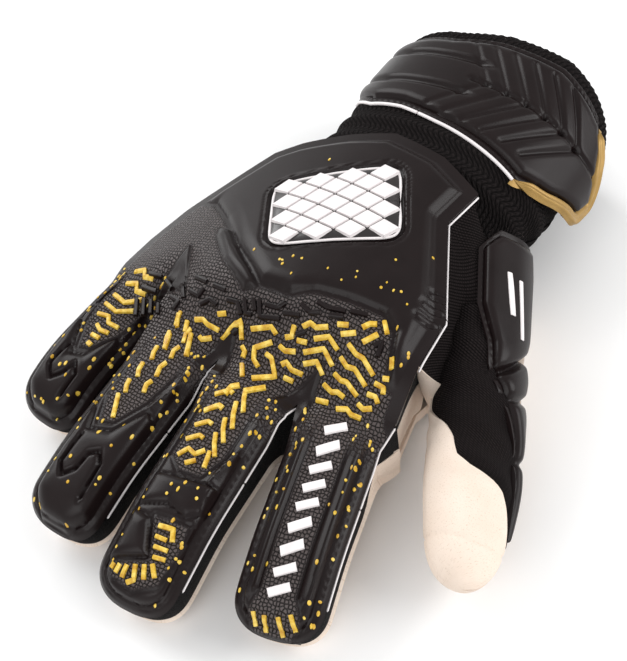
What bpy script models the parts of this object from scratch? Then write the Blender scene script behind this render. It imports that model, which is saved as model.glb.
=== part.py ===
"""A junior goalkeeper glove for the right hand, lying palm down, as an assembly of named solids.

Frame: +Z is the back of the hand, the fingers point to -Y, the thumb to +X, and the wrist opens to +Y.
The origin is on the flat heel of the palm, where the glove rests. Lengths here are in millimetres and
become metres when a mesh is made. Every soft wall is a thin shell: an open grid bent by a formula, then
given its thickness by Solidify. Where a finger bends, a pair of prisms cuts the walls back, one on each side of
the joint, so that the two sides never meet inside its range.
"""

import math

import bmesh
import bpy
import numpy as np
from mathutils import Matrix, Vector

MM = 0.001
GAP = 0.4  # running gap between neighbouring pieces
FOAM = 4.5  # back of the hand and of each finger
LATEX = 4.0  # palm side
FABRIC = 2.0  # gussets, mesh and knit
BOXY = 3.0  # exponent of the rounded cross-section of a finger
OVAL = 2.25  # the same for the wrist

# Each finger: centre of its root at the crotch line, its turn outwards, half width, half height,
# height of its axis, droop of its first half, and lengths root to knuckle, knuckle to middle, middle to tip.
FINGERS = {
    "index": dict(root=(33.5, -41.0), yaw=13.8, half=(12.0, 10.8), axis_z=20.0, droop=8.0, spans=(10, 26, 25.5)),
    "middle": dict(root=(6.5, -44.0), yaw=2.8, half=(12.0, 11.0), axis_z=21.5, droop=8.0, spans=(12, 29, 29)),
    "ring": dict(root=(-21.0, -37.0), yaw=-2.0, half=(12.0, 10.6), axis_z=19.0, droop=7.0, spans=(15, 27, 25.5)),
    "little": dict(root=(-46.5, -22.0), yaw=-6.0, half=(11.0, 9.6), axis_z=15.5, droop=4.0, spans=(12, 22, 20.5)),
}
KNUCKLE_RANGE = (-10.0, 60.0)
MIDDLE_RANGE = (-8.0, 70.0)

THUMB_START = (41.2, 20.3, 27.0)
THUMB_YAW = 26.8
THUMB_ROLL = 40.0
THUMB_HALF = (12.5, 11.5)
THUMB_SPANS = (30.0, 28.0, 37.0)  # start to base joint, base joint to tip joint, tip joint to tip
THUMB_DROOPS = (9.0, 9.0, 3.5)
THUMB_PAD_SHORT = 13.0  # the padded back stops this far from the tip, and the latex wraps over it
THUMB_BASE_RANGE = (-8.0, 12.0)
THUMB_TIP_RANGE = (-5.0, 22.0)

WRIST = (7.0, 43.5, 25.0)  # centre of the wrist opening, on the wrist's axis
WRIST_RANGE = (-20.0, 20.0)
STRAP_HALF = (38.5, 24.6)
STRAP_FOAM = 4.5
RIM_LONG = 5.4
FOLD_SEAM = 1.7  # half the seam at each fold, in degrees
SHOULDER_TOP, SHOULDER_TAB = 150.0, 48.0  # where the strap's two folds cross its round, in degrees

BACK_TOP, KNUCKLE_TOP = 48.0, 33.5  # height of the back of the hand, and of it at the crotch line
PAD_FRONT, PAD_SEAM = -20.0, 2.4  # the seam is wide because the knuckle panel falls away there
HEEL_FRONT, PALM_RISE = -6.0, 9.0
BADGE_CENTRE, BADGE_SIZE, BADGE_LEAN = (-0.5, 8.5), (38.0, 28.0), 32.0

COLOURS = {
    "foam": ((0.024, 0.018, 0.018, 1), 0.45),
    "latex": ((0.88, 0.78, 0.68, 1), 0.8),
    "fabric": ((0.010, 0.009, 0.009, 1), 0.95),
    "mesh": ((0.014, 0.012, 0.012, 1), 0.9),
    "white": ((0.85, 0.82, 0.82, 1), 0.4),
    "gold": ((0.52, 0.30, 0.06, 1), 0.4),
    "hook": ((0.02, 0.02, 0.02, 1), 0.9),
}


def clear_scene():
    for obj in list(bpy.data.objects):
        bpy.data.objects.remove(obj)


def collection(name):
    made = bpy.data.collections.new(name)
    bpy.context.scene.collection.children.link(made)
    return made


def material(name):
    made = bpy.data.materials.new(name)
    made.use_nodes = True
    shader = made.node_tree.nodes["Principled BSDF"]
    colour, roughness = COLOURS[name]
    shader.inputs["Base Color"].default_value = colour
    shader.inputs["Roughness"].default_value = roughness
    shader.inputs["Metallic"].default_value = 0.0
    return made


def joint_frame(name, at, yaw=0.0, pitch=0.0, roll=0.0):
    """An empty on a joint's axis: +X is the axis, -Y runs to the tip, +Z is the back of the piece."""
    empty = bpy.data.objects.new(name, None)
    empty.location = Vector(at) * MM
    turn = Matrix.Rotation(math.radians(yaw), 4, "Z") @ Matrix.Rotation(math.radians(pitch), 4, "X")
    turn = turn @ Matrix.Rotation(math.radians(roll), 4, "Y")
    empty.rotation_euler = turn.to_euler()
    GUIDES.objects.link(empty)
    return empty


def grid_shell(name, surface, across, along, thick, finish, parent=None):
    """A grid of across by along cells, put on surface(u, v) with u and v from 0 to 1, then thickened.

    The thickness goes against the side that u cross v faces, so the formula's surface is the outer face.
    """
    bm = bmesh.new()
    bmesh.ops.create_grid(bm, x_segments=across, y_segments=along, size=0.5)
    uv = np.array([vert.co[:2] for vert in bm.verts]) + 0.5
    points = np.stack(np.broadcast_arrays(*surface(uv[:, 0], uv[:, 1])), axis=1) * MM
    for vert, point in zip(bm.verts, points):
        vert.co = point
    mesh = bpy.data.meshes.new(name)
    bm.to_mesh(mesh)
    bm.free()
    mesh.materials.append(MATERIALS[finish])
    obj = bpy.data.objects.new(name, mesh)
    PARTS.objects.link(obj)
    obj.parent = parent
    wall = obj.modifiers.new("wall", "SOLIDIFY")
    wall.thickness = thick * MM
    wall.offset = -1.0
    return obj


def prism(name, outline, half_width, parent):
    """A hidden cutter: an outline in the frame's YZ plane, extruded to both sides along its X."""
    curve = bpy.data.curves.new(name, "CURVE")
    curve.dimensions = "2D"
    curve.fill_mode = "BOTH"
    curve.extrude = half_width * MM
    spline = curve.splines.new("POLY")
    spline.points.add(len(outline) - 1)
    for point, (y, z) in zip(spline.points, outline):
        point.co = (y * MM, z * MM, 0, 1)
    spline.use_cyclic_u = True
    flat = bpy.data.objects.new(name + "_outline", curve)
    GUIDES.objects.link(flat)
    evaluated = flat.evaluated_get(bpy.context.evaluated_depsgraph_get())
    mesh = bpy.data.meshes.new_from_object(evaluated)
    bpy.data.objects.remove(flat)
    turn = Matrix(((0, 0, 1, 0), (1, 0, 0, 0), (0, 1, 0, 0), (0, 0, 0, 1)))
    mesh.transform(turn)
    bm = bmesh.new()
    bm.from_mesh(mesh)
    bmesh.ops.remove_doubles(bm, verts=bm.verts, dist=1e-6)
    bmesh.ops.recalc_face_normals(bm, faces=bm.faces)
    bm.to_mesh(mesh)
    bm.free()
    cutter = bpy.data.objects.new(name, mesh)
    cutter.parent = parent
    cutter.hide_render = True
    cutter.display_type = "WIRE"
    GUIDES.objects.link(cutter)
    return cutter


def joint_room(name, limits, half_width, reach, parent):
    """The two cutters of a joint, for the walls on its hand side and for those on its tip side.

    Each takes half of the joint's range off a wall's end, above the axis and below it, and all beyond.
    """
    up = reach * math.tan(math.radians(-limits[0] / 2 + 1.0)) + GAP
    down = reach * math.tan(math.radians(limits[1] / 2 + 1.0)) + GAP
    beyond = 2 * reach
    cutters = []
    for side, way in (("hand", 1), ("tip", -1)):
        outline = [(GAP, 0), (up, reach), (-beyond, reach), (-beyond, -reach), (down, -reach)]
        outline = [(way * y, z) for y, z in outline][:: -way]
        cutters.append(prism(f"{name}_{side}_side", outline, half_width, parent))
    return cutters


def cut(obj, *cutters):
    for cutter in cutters:
        boolean = obj.modifiers.new("cut", "BOOLEAN")
        boolean.object = cutter
        boolean.operation = "DIFFERENCE"


def rounded(angle, half, boxy=BOXY):
    """A point of a rounded rectangle at an angle in degrees: a superellipse of the given half sizes."""
    turn = np.radians(angle)
    cosine, sine = np.cos(turn), np.sin(turn)
    x = half[0] * np.sign(cosine) * np.abs(cosine) ** (2 / boxy)
    z = half[1] * np.sign(sine) * np.abs(sine) ** (2 / boxy)
    return x, z


def smooth(t):
    t = np.clip(t, 0, 1)
    return t * t * (3 - 2 * t)


def stall_wall(name, parent, arc, run, half, thick, finish, cells, tip=0.0, boxy=BOXY):
    """One wall of a finger stall: an arc of the rounded section, carried from run[0] to run[1] along Y.

    A tip length over 0 rounds the end into a dome, which stays a little open at its very point.
    """
    low, high = arc
    length = abs(run[1] - run[0])

    def surface(u, v):
        y = run[0] + (run[1] - run[0]) * v
        size = 1.0 + 0 * v
        if tip:
            into = np.clip((v * length - (length - tip)) / tip, 0, 1)
            size = np.maximum((1 - into**2.4) ** (1 / 2.4), 0.3)
        width = half[0] * size
        margin = GAP / np.maximum(width, 1) * 45
        angle = low + margin + (high - low - 2 * margin) * u
        x, z = rounded(angle, (width, half[1] * size), boxy)
        return x, y, z

    return grid_shell(name, surface, cells[0], cells[1], thick, finish, parent)


def back_height(x, y):
    """Height of the back of the hand: low and flat at the crotch line, high and round over the palm."""
    rise = smooth((y + 46) / 26)
    top = KNUCKLE_TOP + (BACK_TOP - KNUCKLE_TOP) * rise
    return top - (0.0028 + 0.0026 * rise) * (x - 9) ** 2


def palm_height(x, y):
    """Height of the palm's outer face: flat on the ground at the heel, and raised under the knuckles."""
    return PALM_RISE * smooth((HEEL_FRONT - y) / 34) + 0 * x


def knuckle_line(x, behind):
    """The front edge of the hand: the line of the four knuckle joints, moved back towards the wrist."""
    ends = []
    for finger in reversed(FINGERS.values()):
        yaw = math.radians(finger["yaw"])
        reach = finger["spans"][0] - behind
        for side in (-1, 1):
            lateral = side * finger["half"][0]
            ends.append(
                (
                    finger["root"][0] + reach * math.sin(yaw) + lateral * math.cos(yaw),
                    finger["root"][1] - reach * math.cos(yaw) + lateral * math.sin(yaw),
                )
            )
    ends = np.array(ends)
    return np.interp(x, ends[:, 0], ends[:, 1])


def back_edge_left(y):
    """The back panel's hem on the little finger's side, as x at a given y."""
    return np.interp(y, [-40, -20, 0, 25, 44], [-58, -56, -50, -36, -25])


def back_edge_right(y):
    """The back panel's hem on the thumb's side, as x at a given y."""
    return np.interp(y, [-50, -38, -12, 15, 30, 44], [47.5, 47.5, 44, 31, 32, 24])


def build_finger(name, finger):
    """Back, palm and two gusset walls for each half of a finger, on its own two joint frames."""
    root_x, root_y = finger["root"]
    yaw = math.radians(finger["yaw"])
    droop = math.radians(finger["droop"])
    to_knuckle, first, second = finger["spans"]
    half = finger["half"]
    knuckle = (root_x + to_knuckle * math.sin(yaw), root_y - to_knuckle * math.cos(yaw), finger["axis_z"])
    middle = (
        knuckle[0] + first * math.cos(droop) * math.sin(yaw),
        knuckle[1] - first * math.cos(droop) * math.cos(yaw),
        knuckle[2] - first * math.sin(droop),
    )
    end_half = (half[0] * 0.98, half[1] * 0.9)
    lowest = second - 5.0  # where the round of the tip begins to leave the ground
    tilt = math.asin(middle[2] / math.hypot(lowest, end_half[1])) - math.atan2(end_half[1], lowest)
    near = joint_frame(name + "_knuckle_axis", knuckle, finger["yaw"], finger["droop"])
    far = joint_frame(name + "_middle_axis", middle, finger["yaw"], math.degrees(tilt))
    near_room = joint_room(name + "_knuckle_room", KNUCKLE_RANGE, half[0] + 4, 16, near)
    far_room = joint_room(name + "_middle_room", MIDDLE_RANGE, half[0] + 4, 16, far)
    walls = (
        ("back", (33, 147), FOAM, "foam", 4),
        ("palm", (213, 327), LATEX, "latex", 4),
        ("gusset_outer", (161, 199), FABRIC, "fabric", 2),
        ("gusset_inner", (-19, 19), FABRIC, "fabric", 2),
    )
    for wall, arc, thick, finish, around in walls:
        cell = (around, 2)
        run = (0.5, -first - 2)
        proximal = stall_wall(f"{name}_{wall}_proximal", near, arc, run, half, thick, finish, cell)
        cut(proximal, near_room[1], far_room[0])
        distal = stall_wall(
            f"{name}_{wall}_distal", far, arc, (0.5, -second), end_half, thick, finish, (around, 5), tip=9.0
        )
        cut(distal, far_room[1])
    print(name, "knuckle", [round(c, 2) for c in knuckle], "middle", [round(c, 2) for c in middle])


def build_thumb():
    """The thumb: a padded back, a mesh side and a latex wrap, in three lengths on two joints."""
    yaw = math.radians(THUMB_YAW)
    at = np.array(THUMB_START)
    frames = []
    for number, (span, droop) in enumerate(zip(THUMB_SPANS, THUMB_DROOPS)):
        frames.append(joint_frame(f"thumb_axis_{number}", at, THUMB_YAW, droop, THUMB_ROLL))
        print("thumb", number, np.round(at, 2))
        pitch = math.radians(droop)
        step = (math.cos(pitch) * math.sin(yaw), -math.cos(pitch) * math.cos(yaw), -math.sin(pitch))
        at = at + span * np.array(step)
    base_room = joint_room("thumb_base_room", THUMB_BASE_RANGE, 34, 30, frames[1])
    tip_room = joint_room("thumb_tip_room", THUMB_TIP_RANGE, 22, 18, frames[2])
    half = THUMB_HALF
    lengths = (
        ("base", 0, (-4, -THUMB_SPANS[0] - 2), (base_room[0],), 0.0, 3, (26, 130)),
        ("middle", 1, (0.5, -THUMB_SPANS[1] - 2), (base_room[1], tip_room[0]), 0.0, 2, (14, 106)),
        ("tip", 2, (0.5, -THUMB_SPANS[2]), (tip_room[1],), 13.0, 6, (4, 68)),
    )
    for length, number, run, gaps, tip, cells, pad_arc in lengths:
        size = half if length != "tip" else (half[0] * 0.98, half[1] * 0.98)
        pad_run = (run[0], run[1] + (THUMB_PAD_SHORT if tip else 0))
        pad = stall_wall(
            f"thumb_pad_{length}", frames[number], pad_arc, pad_run, size, FOAM, "foam", (5, cells), boxy=2.3
        )
        cut(pad, *gaps)
        if length == "base":
            continue
        arc = (229, 365) if length == "middle" else (80, 353)
        wrap = stall_wall(
            f"thumb_wrap_{length}", frames[number], arc, run, size, LATEX * 0.8, "latex", (6, cells), tip, 2.3
        )
        cut(wrap, *gaps)
        if length == "middle":
            side = stall_wall(
                "thumb_mesh_middle", frames[number], (118, 220), run, size, FABRIC, "mesh", (3, cells), tip, 2.3
            )
            cut(side, *gaps)
    return base_room[0]


def build_hand(thumb_room):
    """The hand's own shells: the padded back, its badge, the knuckle panel, linings, palm and sides."""

    def back_patch(front, rear, inset, below):
        def surface(u, v):
            x_rough = -56 + 104 * u
            y_front = knuckle_line(x_rough, 1.8) + GAP if front is None else front
            y = rear + (y_front - rear) * v
            left, right = back_edge_left(y) + inset, back_edge_right(y) - inset
            x = right + (left - right) * u
            y = rear + ((knuckle_line(x, 1.8) + GAP if front is None else front) - rear) * v
            return x, y, back_height(x, y) - below

        return surface

    rear = WRIST[1] - 4.8
    grid_shell("backhand_pad", back_patch(PAD_FRONT + GAP, rear, 0, 0), 10, 6, FOAM, "foam")
    grid_shell("knuckle_panel", back_patch(None, PAD_FRONT - PAD_SEAM, 0, 0), 14, 4, FOAM, "foam")
    grid_shell("backhand_lining", back_patch(PAD_FRONT + GAP, rear, 3, FOAM + 1.2), 8, 4, 0.8, "fabric")

    def badge(u, v):
        lean = math.radians(BADGE_LEAN)
        x, y = BADGE_SIZE[0] * (u - 0.5), BADGE_SIZE[1] * (v - 0.5)
        wx = BADGE_CENTRE[0] + x * math.cos(lean) - y * math.sin(lean)
        wy = BADGE_CENTRE[1] + x * math.sin(lean) + y * math.cos(lean)
        return wx, wy, back_height(wx, wy) + GAP + 1.4

    grid_shell("badge_plate", badge, 4, 3, 1.2, "white")

    def palm_edge(y):
        return np.interp(y, [-50, -30, -14, 8, 44], [46, 44, 36, 40, 33])

    def palm(u, v):
        y_rear = WRIST[1] - 4.8
        y = y_rear + (knuckle_line(-54 + 98 * u, 7.5) - y_rear) * v
        left = back_edge_left(y) + 2
        x = left + (palm_edge(y) - left) * u
        y = y_rear + (knuckle_line(x, 7.5) - y_rear) * v
        return x, y, palm_height(x, y)

    grid_shell("palm_panel", palm, 12, 8, LATEX, "latex")

    def wall_between(top_edge, rear, front, behind, side):
        """A side wall: from the back panel's hem down to the palm, bulging outwards by 3 mm."""

        def surface(u, v):
            y = rear + (front - rear) * v
            x_top = top_edge(y)
            high = back_height(x_top, y) - FOAM - 1.2
            low = palm_height(x_top, y) + LATEX + 0.8
            z = high + (low - high) * u if side < 0 else low + (high - low) * u
            x = x_top + side * (2.5 * np.sin(np.pi * u) - 2.2)
            axis = FINGERS["little" if side < 0 else "index"]["axis_z"]
            slope = np.where(z < axis, math.tan(math.radians(31)), math.tan(math.radians(6)))
            back_off = (np.abs(z - axis) * slope + GAP + behind) * np.clip(v * 3 - 2, 0, 1)
            return x, y + back_off, z

        return surface

    left_front = float(knuckle_line(np.array(-59.5), 0))
    right_front = float(knuckle_line(np.array(48.0), 0))
    rear_side = WRIST[1] - 5.2
    left_wall = wall_between(back_edge_left, rear_side, left_front, 0.6, -1)
    grid_shell("little_side_gusset", left_wall, 3, 8, FABRIC, "fabric")
    right_wall = wall_between(back_edge_right, -22.0, right_front, 0.6, 1)
    grid_shell("index_side_gusset", right_wall, 3, 4, FABRIC, "fabric")

    yaw = math.radians(THUMB_YAW)

    def thumb_edge(y, angle, inset):
        """A line along the thumb's first length: its section's point at an angle, for world y."""
        along = (THUMB_START[1] - y) / math.cos(yaw)
        x, z = rounded(np.full_like(y, angle), THUMB_HALF, 2.3)
        roll = math.radians(THUMB_ROLL)
        side = x * math.cos(roll) + z * math.sin(roll) - inset
        high = -x * math.sin(roll) + z * math.cos(roll)
        height = THUMB_START[2] - along * math.sin(math.radians(THUMB_DROOPS[0])) + high
        return THUMB_START[0] + along * math.sin(yaw) + side * math.cos(yaw), height

    def web(u, v):
        y = 30 - 37 * v
        top_x = back_edge_right(y) + 1.2
        top_z = back_height(top_x, y) - 3.2
        low_x, low_z = thumb_edge(y, 136.0, 0.6)
        x = low_x + (top_x - low_x) * u
        z = low_z + (top_z - low_z) * u + 1.5 * np.sin(np.pi * u) - 0.4
        return x, y, z

    web_mesh = grid_shell("thumb_web_mesh", web, 4, 5, FABRIC, "mesh")
    cut(web_mesh, thumb_room)

    def lobe(u, v):
        y = 30 - 34 * v
        in_x = palm_edge(y) + 1.4
        in_z = palm_height(in_x, y)
        out_x, out_z = thumb_edge(y, 16.0, 0.0)
        x = in_x + (out_x - in_x) * u
        z = in_z + (out_z - 0.6 - in_z) * (1 - np.cos(np.pi * u / 2))
        return x, y, np.maximum(z, 0.2)

    thumb_lobe = grid_shell("thumb_palm_lobe", lobe, 5, 5, LATEX * 0.8, "latex")
    cut(thumb_lobe, thumb_room)


def strap_front(angle):
    """The strap's front edge, as y at an angle round the wrist: 0 is the thumb's side, 90 the top."""
    return np.interp(angle, [-30, -20, 0, 20, 43, 82, 110, 131, 150, 180, 270, 335], [64, 63, 57.5, 52, 48, 52, 54.5, 54.5, 58, 63, 60, 61])


def strap_rear(angle):
    return np.interp(angle, [-30, 0, 20, 60, 90, 110, 150, 180, 270, 335], [87, 86, 87.5, 93, 92, 88.5, 88, 90, 91, 88])


def round_wall(name, parent, arc, edges, half, thick, finish, cells, centre):
    """A piece of the round of the wrist: an arc of an oval, between a front and a rear edge.

    The arc's low end may be a function of v, which runs from 0 at the rear edge to 1 at the front one.
    The centre is the oval's centre, seen from the parent.
    """

    def surface(u, v):
        low, high = arc
        first = low(v) if callable(low) else low
        last = high(v) if callable(high) else high
        angle = first + (last - first) * u
        front, rear = edges
        y = rear(angle) + (front(angle) - rear(angle)) * v
        x, z = rounded(angle, half, OVAL)
        return x + centre[0], y + centre[1], z + centre[2]

    return grid_shell(name, surface, cells[0], cells[1], thick, finish, parent)


def seen_from(origin):
    """The wrist oval's centre, as the pieces of a joint frame at this origin see it."""
    return WRIST[0] - origin[0], -origin[1], WRIST[2] - origin[2]


def smaller(by):
    return STRAP_HALF[0] - by, STRAP_HALF[1] - by


def tab_end(v):
    """The angle where the strap's tab ends: a point low on the thumb's side, slanting up to both edges."""
    return np.interp(v, [0, 0.07, 0.24, 0.44, 0.7, 1], [24, 18, 5, -3, -12, -8])


def build_cuff():
    """The knit neck, sleeve and rim, and the strap that wraps them from the little finger's side."""
    wrist = joint_frame("wrist_axis", WRIST)
    at = seen_from(WRIST)
    neck_room = joint_room("wrist_room", (-WRIST_RANGE[1], WRIST_RANGE[1]), 60, 40, wrist)[0]

    def neck_front(angle):
        return WRIST[1] + 0 * angle

    def neck_rear(angle):
        return strap_front(angle) - 1.6

    def rim_front(angle):
        return strap_rear(angle) + 1.7

    def rim_rear(angle):
        return strap_rear(angle) + RIM_LONG

    def sleeve_front(angle):
        return strap_front(angle) + 0.5

    for place, low, high in (("upper", -12, 192), ("lower", 198, 342)):
        cells = 10 if place == "upper" else 8
        neck = round_wall(
            f"wrist_knit_{place}", wrist, (low, high), (neck_front, neck_rear), smaller(2.2), 2.4, "fabric",
            (cells, 2), at,
        )
        cut(neck, neck_room)
        round_wall(
            f"cuff_sleeve_{place}", wrist, (low, high), (sleeve_front, rim_rear), smaller(6.6), 1.6, "fabric",
            (cells, 2), at,
        )
    round_wall("cuff_rim", wrist, (-20, 338), (rim_front, rim_rear), smaller(2.2), 3.8, "fabric", (16, 1), at)
    round_wall(
        "strap_anchor", wrist, (SHOULDER_TOP + FOLD_SEAM, 316), (strap_front, strap_rear), STRAP_HALF, STRAP_FOAM,
        "foam", (12, 2), at,
    )
    round_wall(
        "loop_patch", wrist, (-8, 34), (lambda a: strap_front(a) + 6, lambda a: strap_rear(a) - 6), smaller(5.6),
        0.7, "hook", (4, 2), at,
    )

    fold = rounded(SHOULDER_TOP, STRAP_HALF, OVAL)
    top_origin = (WRIST[0] + fold[0], WRIST[1], WRIST[2] + fold[1])
    top = joint_frame("strap_top_axis", top_origin)
    round_wall(
        "strap_top", top, (SHOULDER_TAB + FOLD_SEAM, SHOULDER_TOP - FOLD_SEAM), (strap_front, strap_rear), STRAP_HALF,
        STRAP_FOAM, "foam", (9, 2), seen_from(top_origin),
    )

    def piping_front(angle):
        return strap_front(angle) - 1.4

    def piping_rear(angle):
        return strap_front(angle) - GAP

    round_wall(
        "strap_piping", top, (SHOULDER_TAB + 1, SHOULDER_TOP - 1), (piping_front, piping_rear), smaller(-0.1), 1.2,
        "white", (7, 1), seen_from(top_origin),
    )

    fold = rounded(SHOULDER_TAB, STRAP_HALF, OVAL)
    tab_origin = (WRIST[0] + fold[0], WRIST[1], WRIST[2] + fold[1])
    tab = joint_frame("strap_tab_axis", tab_origin)
    at = seen_from(tab_origin)
    round_wall(
        "strap_tab", tab, (tab_end, SHOULDER_TAB - FOLD_SEAM), (strap_front, strap_rear), STRAP_HALF, STRAP_FOAM - 0.5,
        "foam", (5, 6), at,
    )
    round_wall(
        "strap_gold_edge", tab, (lambda v: tab_end(v) - 7, lambda v: tab_end(v) - 2.6), (strap_front, strap_rear),
        smaller(0.4), 2.6, "gold", (1, 8), at,
    )
    round_wall(
        "hook_patch", tab, (10, 34), (lambda a: strap_front(a) + 8, lambda a: strap_rear(a) - 8), smaller(4.5), 0.7,
        "hook", (4, 2), at,
    )
    print("strap folds", np.round(top_origin, 2), np.round(tab_origin, 2))


clear_scene()
PARTS = collection("goalkeeper_glove")
GUIDES = collection("guides_and_cutters")
GUIDES.hide_render = True
MATERIALS = {name: material(name) for name in COLOURS}
for finger_name, finger_size in FINGERS.items():
    build_finger(finger_name, finger_size)
build_hand(build_thumb())
build_cuff()
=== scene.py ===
# %% [markdown]
# # A goalkeeper glove
# A keeper's glove is a sandwich: a moulded foam back, latex on the palm, and thin cloth walls
# that join the two round every finger. We load the glove's jointed frame first, because soft
# pieces ride on its bodies; a piece over a joint only has its transform baked in place.

# %% Load the frame
import math

import bmesh
import bpy
import numpy as np
from mathutils import Matrix, Vector


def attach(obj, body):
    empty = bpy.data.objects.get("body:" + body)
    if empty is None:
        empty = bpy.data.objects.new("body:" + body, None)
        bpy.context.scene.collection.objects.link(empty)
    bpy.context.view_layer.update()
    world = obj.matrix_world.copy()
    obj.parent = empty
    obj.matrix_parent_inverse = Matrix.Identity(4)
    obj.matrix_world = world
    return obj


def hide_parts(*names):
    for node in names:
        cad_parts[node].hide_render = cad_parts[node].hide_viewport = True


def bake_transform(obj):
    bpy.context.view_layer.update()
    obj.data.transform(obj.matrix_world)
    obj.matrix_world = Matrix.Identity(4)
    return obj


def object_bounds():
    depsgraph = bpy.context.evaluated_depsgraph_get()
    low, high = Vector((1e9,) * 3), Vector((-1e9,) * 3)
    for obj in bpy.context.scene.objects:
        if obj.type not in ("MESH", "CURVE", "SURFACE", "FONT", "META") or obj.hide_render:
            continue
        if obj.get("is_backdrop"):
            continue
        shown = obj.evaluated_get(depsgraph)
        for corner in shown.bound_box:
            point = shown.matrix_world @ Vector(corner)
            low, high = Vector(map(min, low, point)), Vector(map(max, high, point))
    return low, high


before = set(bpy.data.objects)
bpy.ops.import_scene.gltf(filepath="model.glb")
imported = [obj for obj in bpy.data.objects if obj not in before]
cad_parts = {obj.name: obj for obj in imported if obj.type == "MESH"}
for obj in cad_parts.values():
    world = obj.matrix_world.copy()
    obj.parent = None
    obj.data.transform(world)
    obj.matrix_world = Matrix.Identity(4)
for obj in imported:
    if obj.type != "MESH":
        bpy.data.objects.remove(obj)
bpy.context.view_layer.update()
MM = 0.001

# %% [markdown]
# ## Camera, light and floor
# The glove lies on a pale table and is seen from above its thumb side. Big soft lights give the
# long, quiet highlights that show satin foam; one large light behind the wrist draws the ridges.

# %% Camera, lights and floor
scene = bpy.context.scene
LOOK_FROM = Vector((0.2136, -0.2519, 0.3997))
RIGHT, UP, BACK = (0.8213, 0.5612, -0.1024), (-0.3818, 0.6742, 0.6322), (0.4238, -0.4802, 0.7680)
camera_data = bpy.data.cameras.new("camera")
camera_data.lens, camera_data.sensor_width = 92.6, 36
camera = bpy.data.objects.new("camera", camera_data)
camera.matrix_world = Matrix.Translation(LOOK_FROM) @ Matrix((RIGHT, UP, BACK)).transposed().to_4x4()
scene.collection.objects.link(camera)
scene.camera = camera


LIGHTS_AIM = Vector((0, 0, 0.02))


def soft_light(name, place, size, power):
    """A square area light of a size in metres, aimed at the middle of the glove."""
    data = bpy.data.lights.new(name, "AREA")
    data.size, data.energy = size, power
    light = bpy.data.objects.new(name, data)
    light.location = place
    light.rotation_euler = (Vector(place) - LIGHTS_AIM).to_track_quat("Z", "Y").to_euler()
    scene.collection.objects.link(light)


soft_light("key", (-1.05, 0.15, 0.75), 0.9, 11)
soft_light("side", (0.95, 0.45, 0.6), 0.8, 9)
soft_light("front", (0.1, -1.1, 0.8), 0.9, 6)
world = bpy.data.worlds.new("studio")
world.use_nodes = True
background = world.node_tree.nodes["Background"]
background.inputs["Color"].default_value = (1, 1, 1, 1)
background.inputs["Strength"].default_value = 0.66
scene.world = world
scene.view_settings.view_transform = "Standard"

floor_mesh = bpy.data.meshes.new("floor")
FLOOR_HALF, FLOOR_Z = 4, -0.0004
floor_corners = [(x * FLOOR_HALF, y * FLOOR_HALF, FLOOR_Z) for x, y in ((-1, -1), (1, -1), (1, 1), (-1, 1))]
floor_mesh.from_pydata(floor_corners, [], [(0, 1, 2, 3)])
floor = bpy.data.objects.new("floor", floor_mesh)
scene.collection.objects.link(floor)
floor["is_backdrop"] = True

# %% [markdown]
# ## Writing materials as sums
# A procedural material is arithmetic on numbers that change over a surface. This little class
# wraps one socket, so that `0.2 + mask * 3` adds the Math nodes by itself. Every piece carries a
# UV map in millimetres, so a weave keeps its real size and stays put when the glove bends.


# %% A class for shader maths
class Wire:
    """One socket of a material, with arithmetic."""

    def __init__(self, socket):
        self.socket = socket

    def node(self, kind, settings=(), inputs=(), out=0):
        """Any node: its type, its settings (a ramp's stops among them), then its sockets' values or links."""
        tree = self.socket.id_data
        made = tree.nodes.new(kind)
        for key, value in dict(settings).items():
            if key == "stops":
                ramp = made.color_ramp
                for number, (place, colour) in enumerate(value):
                    stop = ramp.elements[number] if number < 2 else ramp.elements.new(place)
                    stop.position, stop.color = place, (*colour, 1)
            else:
                setattr(made, key, value)
        for key, value in dict(inputs).items():
            if isinstance(value, Wire):
                tree.links.new(value.socket, made.inputs[key])
            else:
                made.inputs[key].default_value = value
        return Wire(made.outputs[out])

    def math(self, operation, *others):
        return self.node("ShaderNodeMath", {"operation": operation}, enumerate((self, *others)))

    def __add__(self, other):
        return self.math("ADD", other)

    def __sub__(self, other):
        return self.math("SUBTRACT", other)

    def __mul__(self, other):
        return self.math("MULTIPLY", other)

    def __rsub__(self, other):
        return (self * -1.0).math("ADD", other)

    __radd__ = __add__

    def mix(self, low, high):
        """A colour between two, by this wire's value."""
        return self.node(
            "ShaderNodeMix", {"data_type": "RGBA"}, {0: self, 6: colour_of(low), 7: colour_of(high)}, out=2
        )


def colour_of(value):
    return value if isinstance(value, Wire) else (*value, 1)


def finish(name, recipe, plain=()):
    """A material: plain values go straight on the shader, and the recipe links what changes over a surface."""
    made = bpy.data.materials.new(name)
    made.use_nodes = True
    shader = made.node_tree.nodes["Principled BSDF"]
    for key, value in dict(plain).items():
        shader.inputs[key].default_value = value
    start = Wire(shader.inputs["Base Color"])
    plane = start.node("ShaderNodeUVMap", {"uv_map": "flat"})
    for key, value in recipe(plane).items():
        if key == "bump":
            height, depth = value
            value = start.node("ShaderNodeBump", {}, {"Height": height, "Distance": depth})
            key = "Normal"
        made.node_tree.links.new(value.socket, shader.inputs[key])
    return made


def noise(plane, per_mm, detail=2.0):
    """Cloudy noise from 0 to 1, with so many blobs to a millimetre."""
    return plane.node("ShaderNodeTexNoise", {}, {"Vector": plane, "Scale": per_mm, "Detail": detail})


def ramp(wire, *stops):
    return wire.node("ShaderNodeValToRGB", {"stops": stops}, {"Fac": wire})
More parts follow.
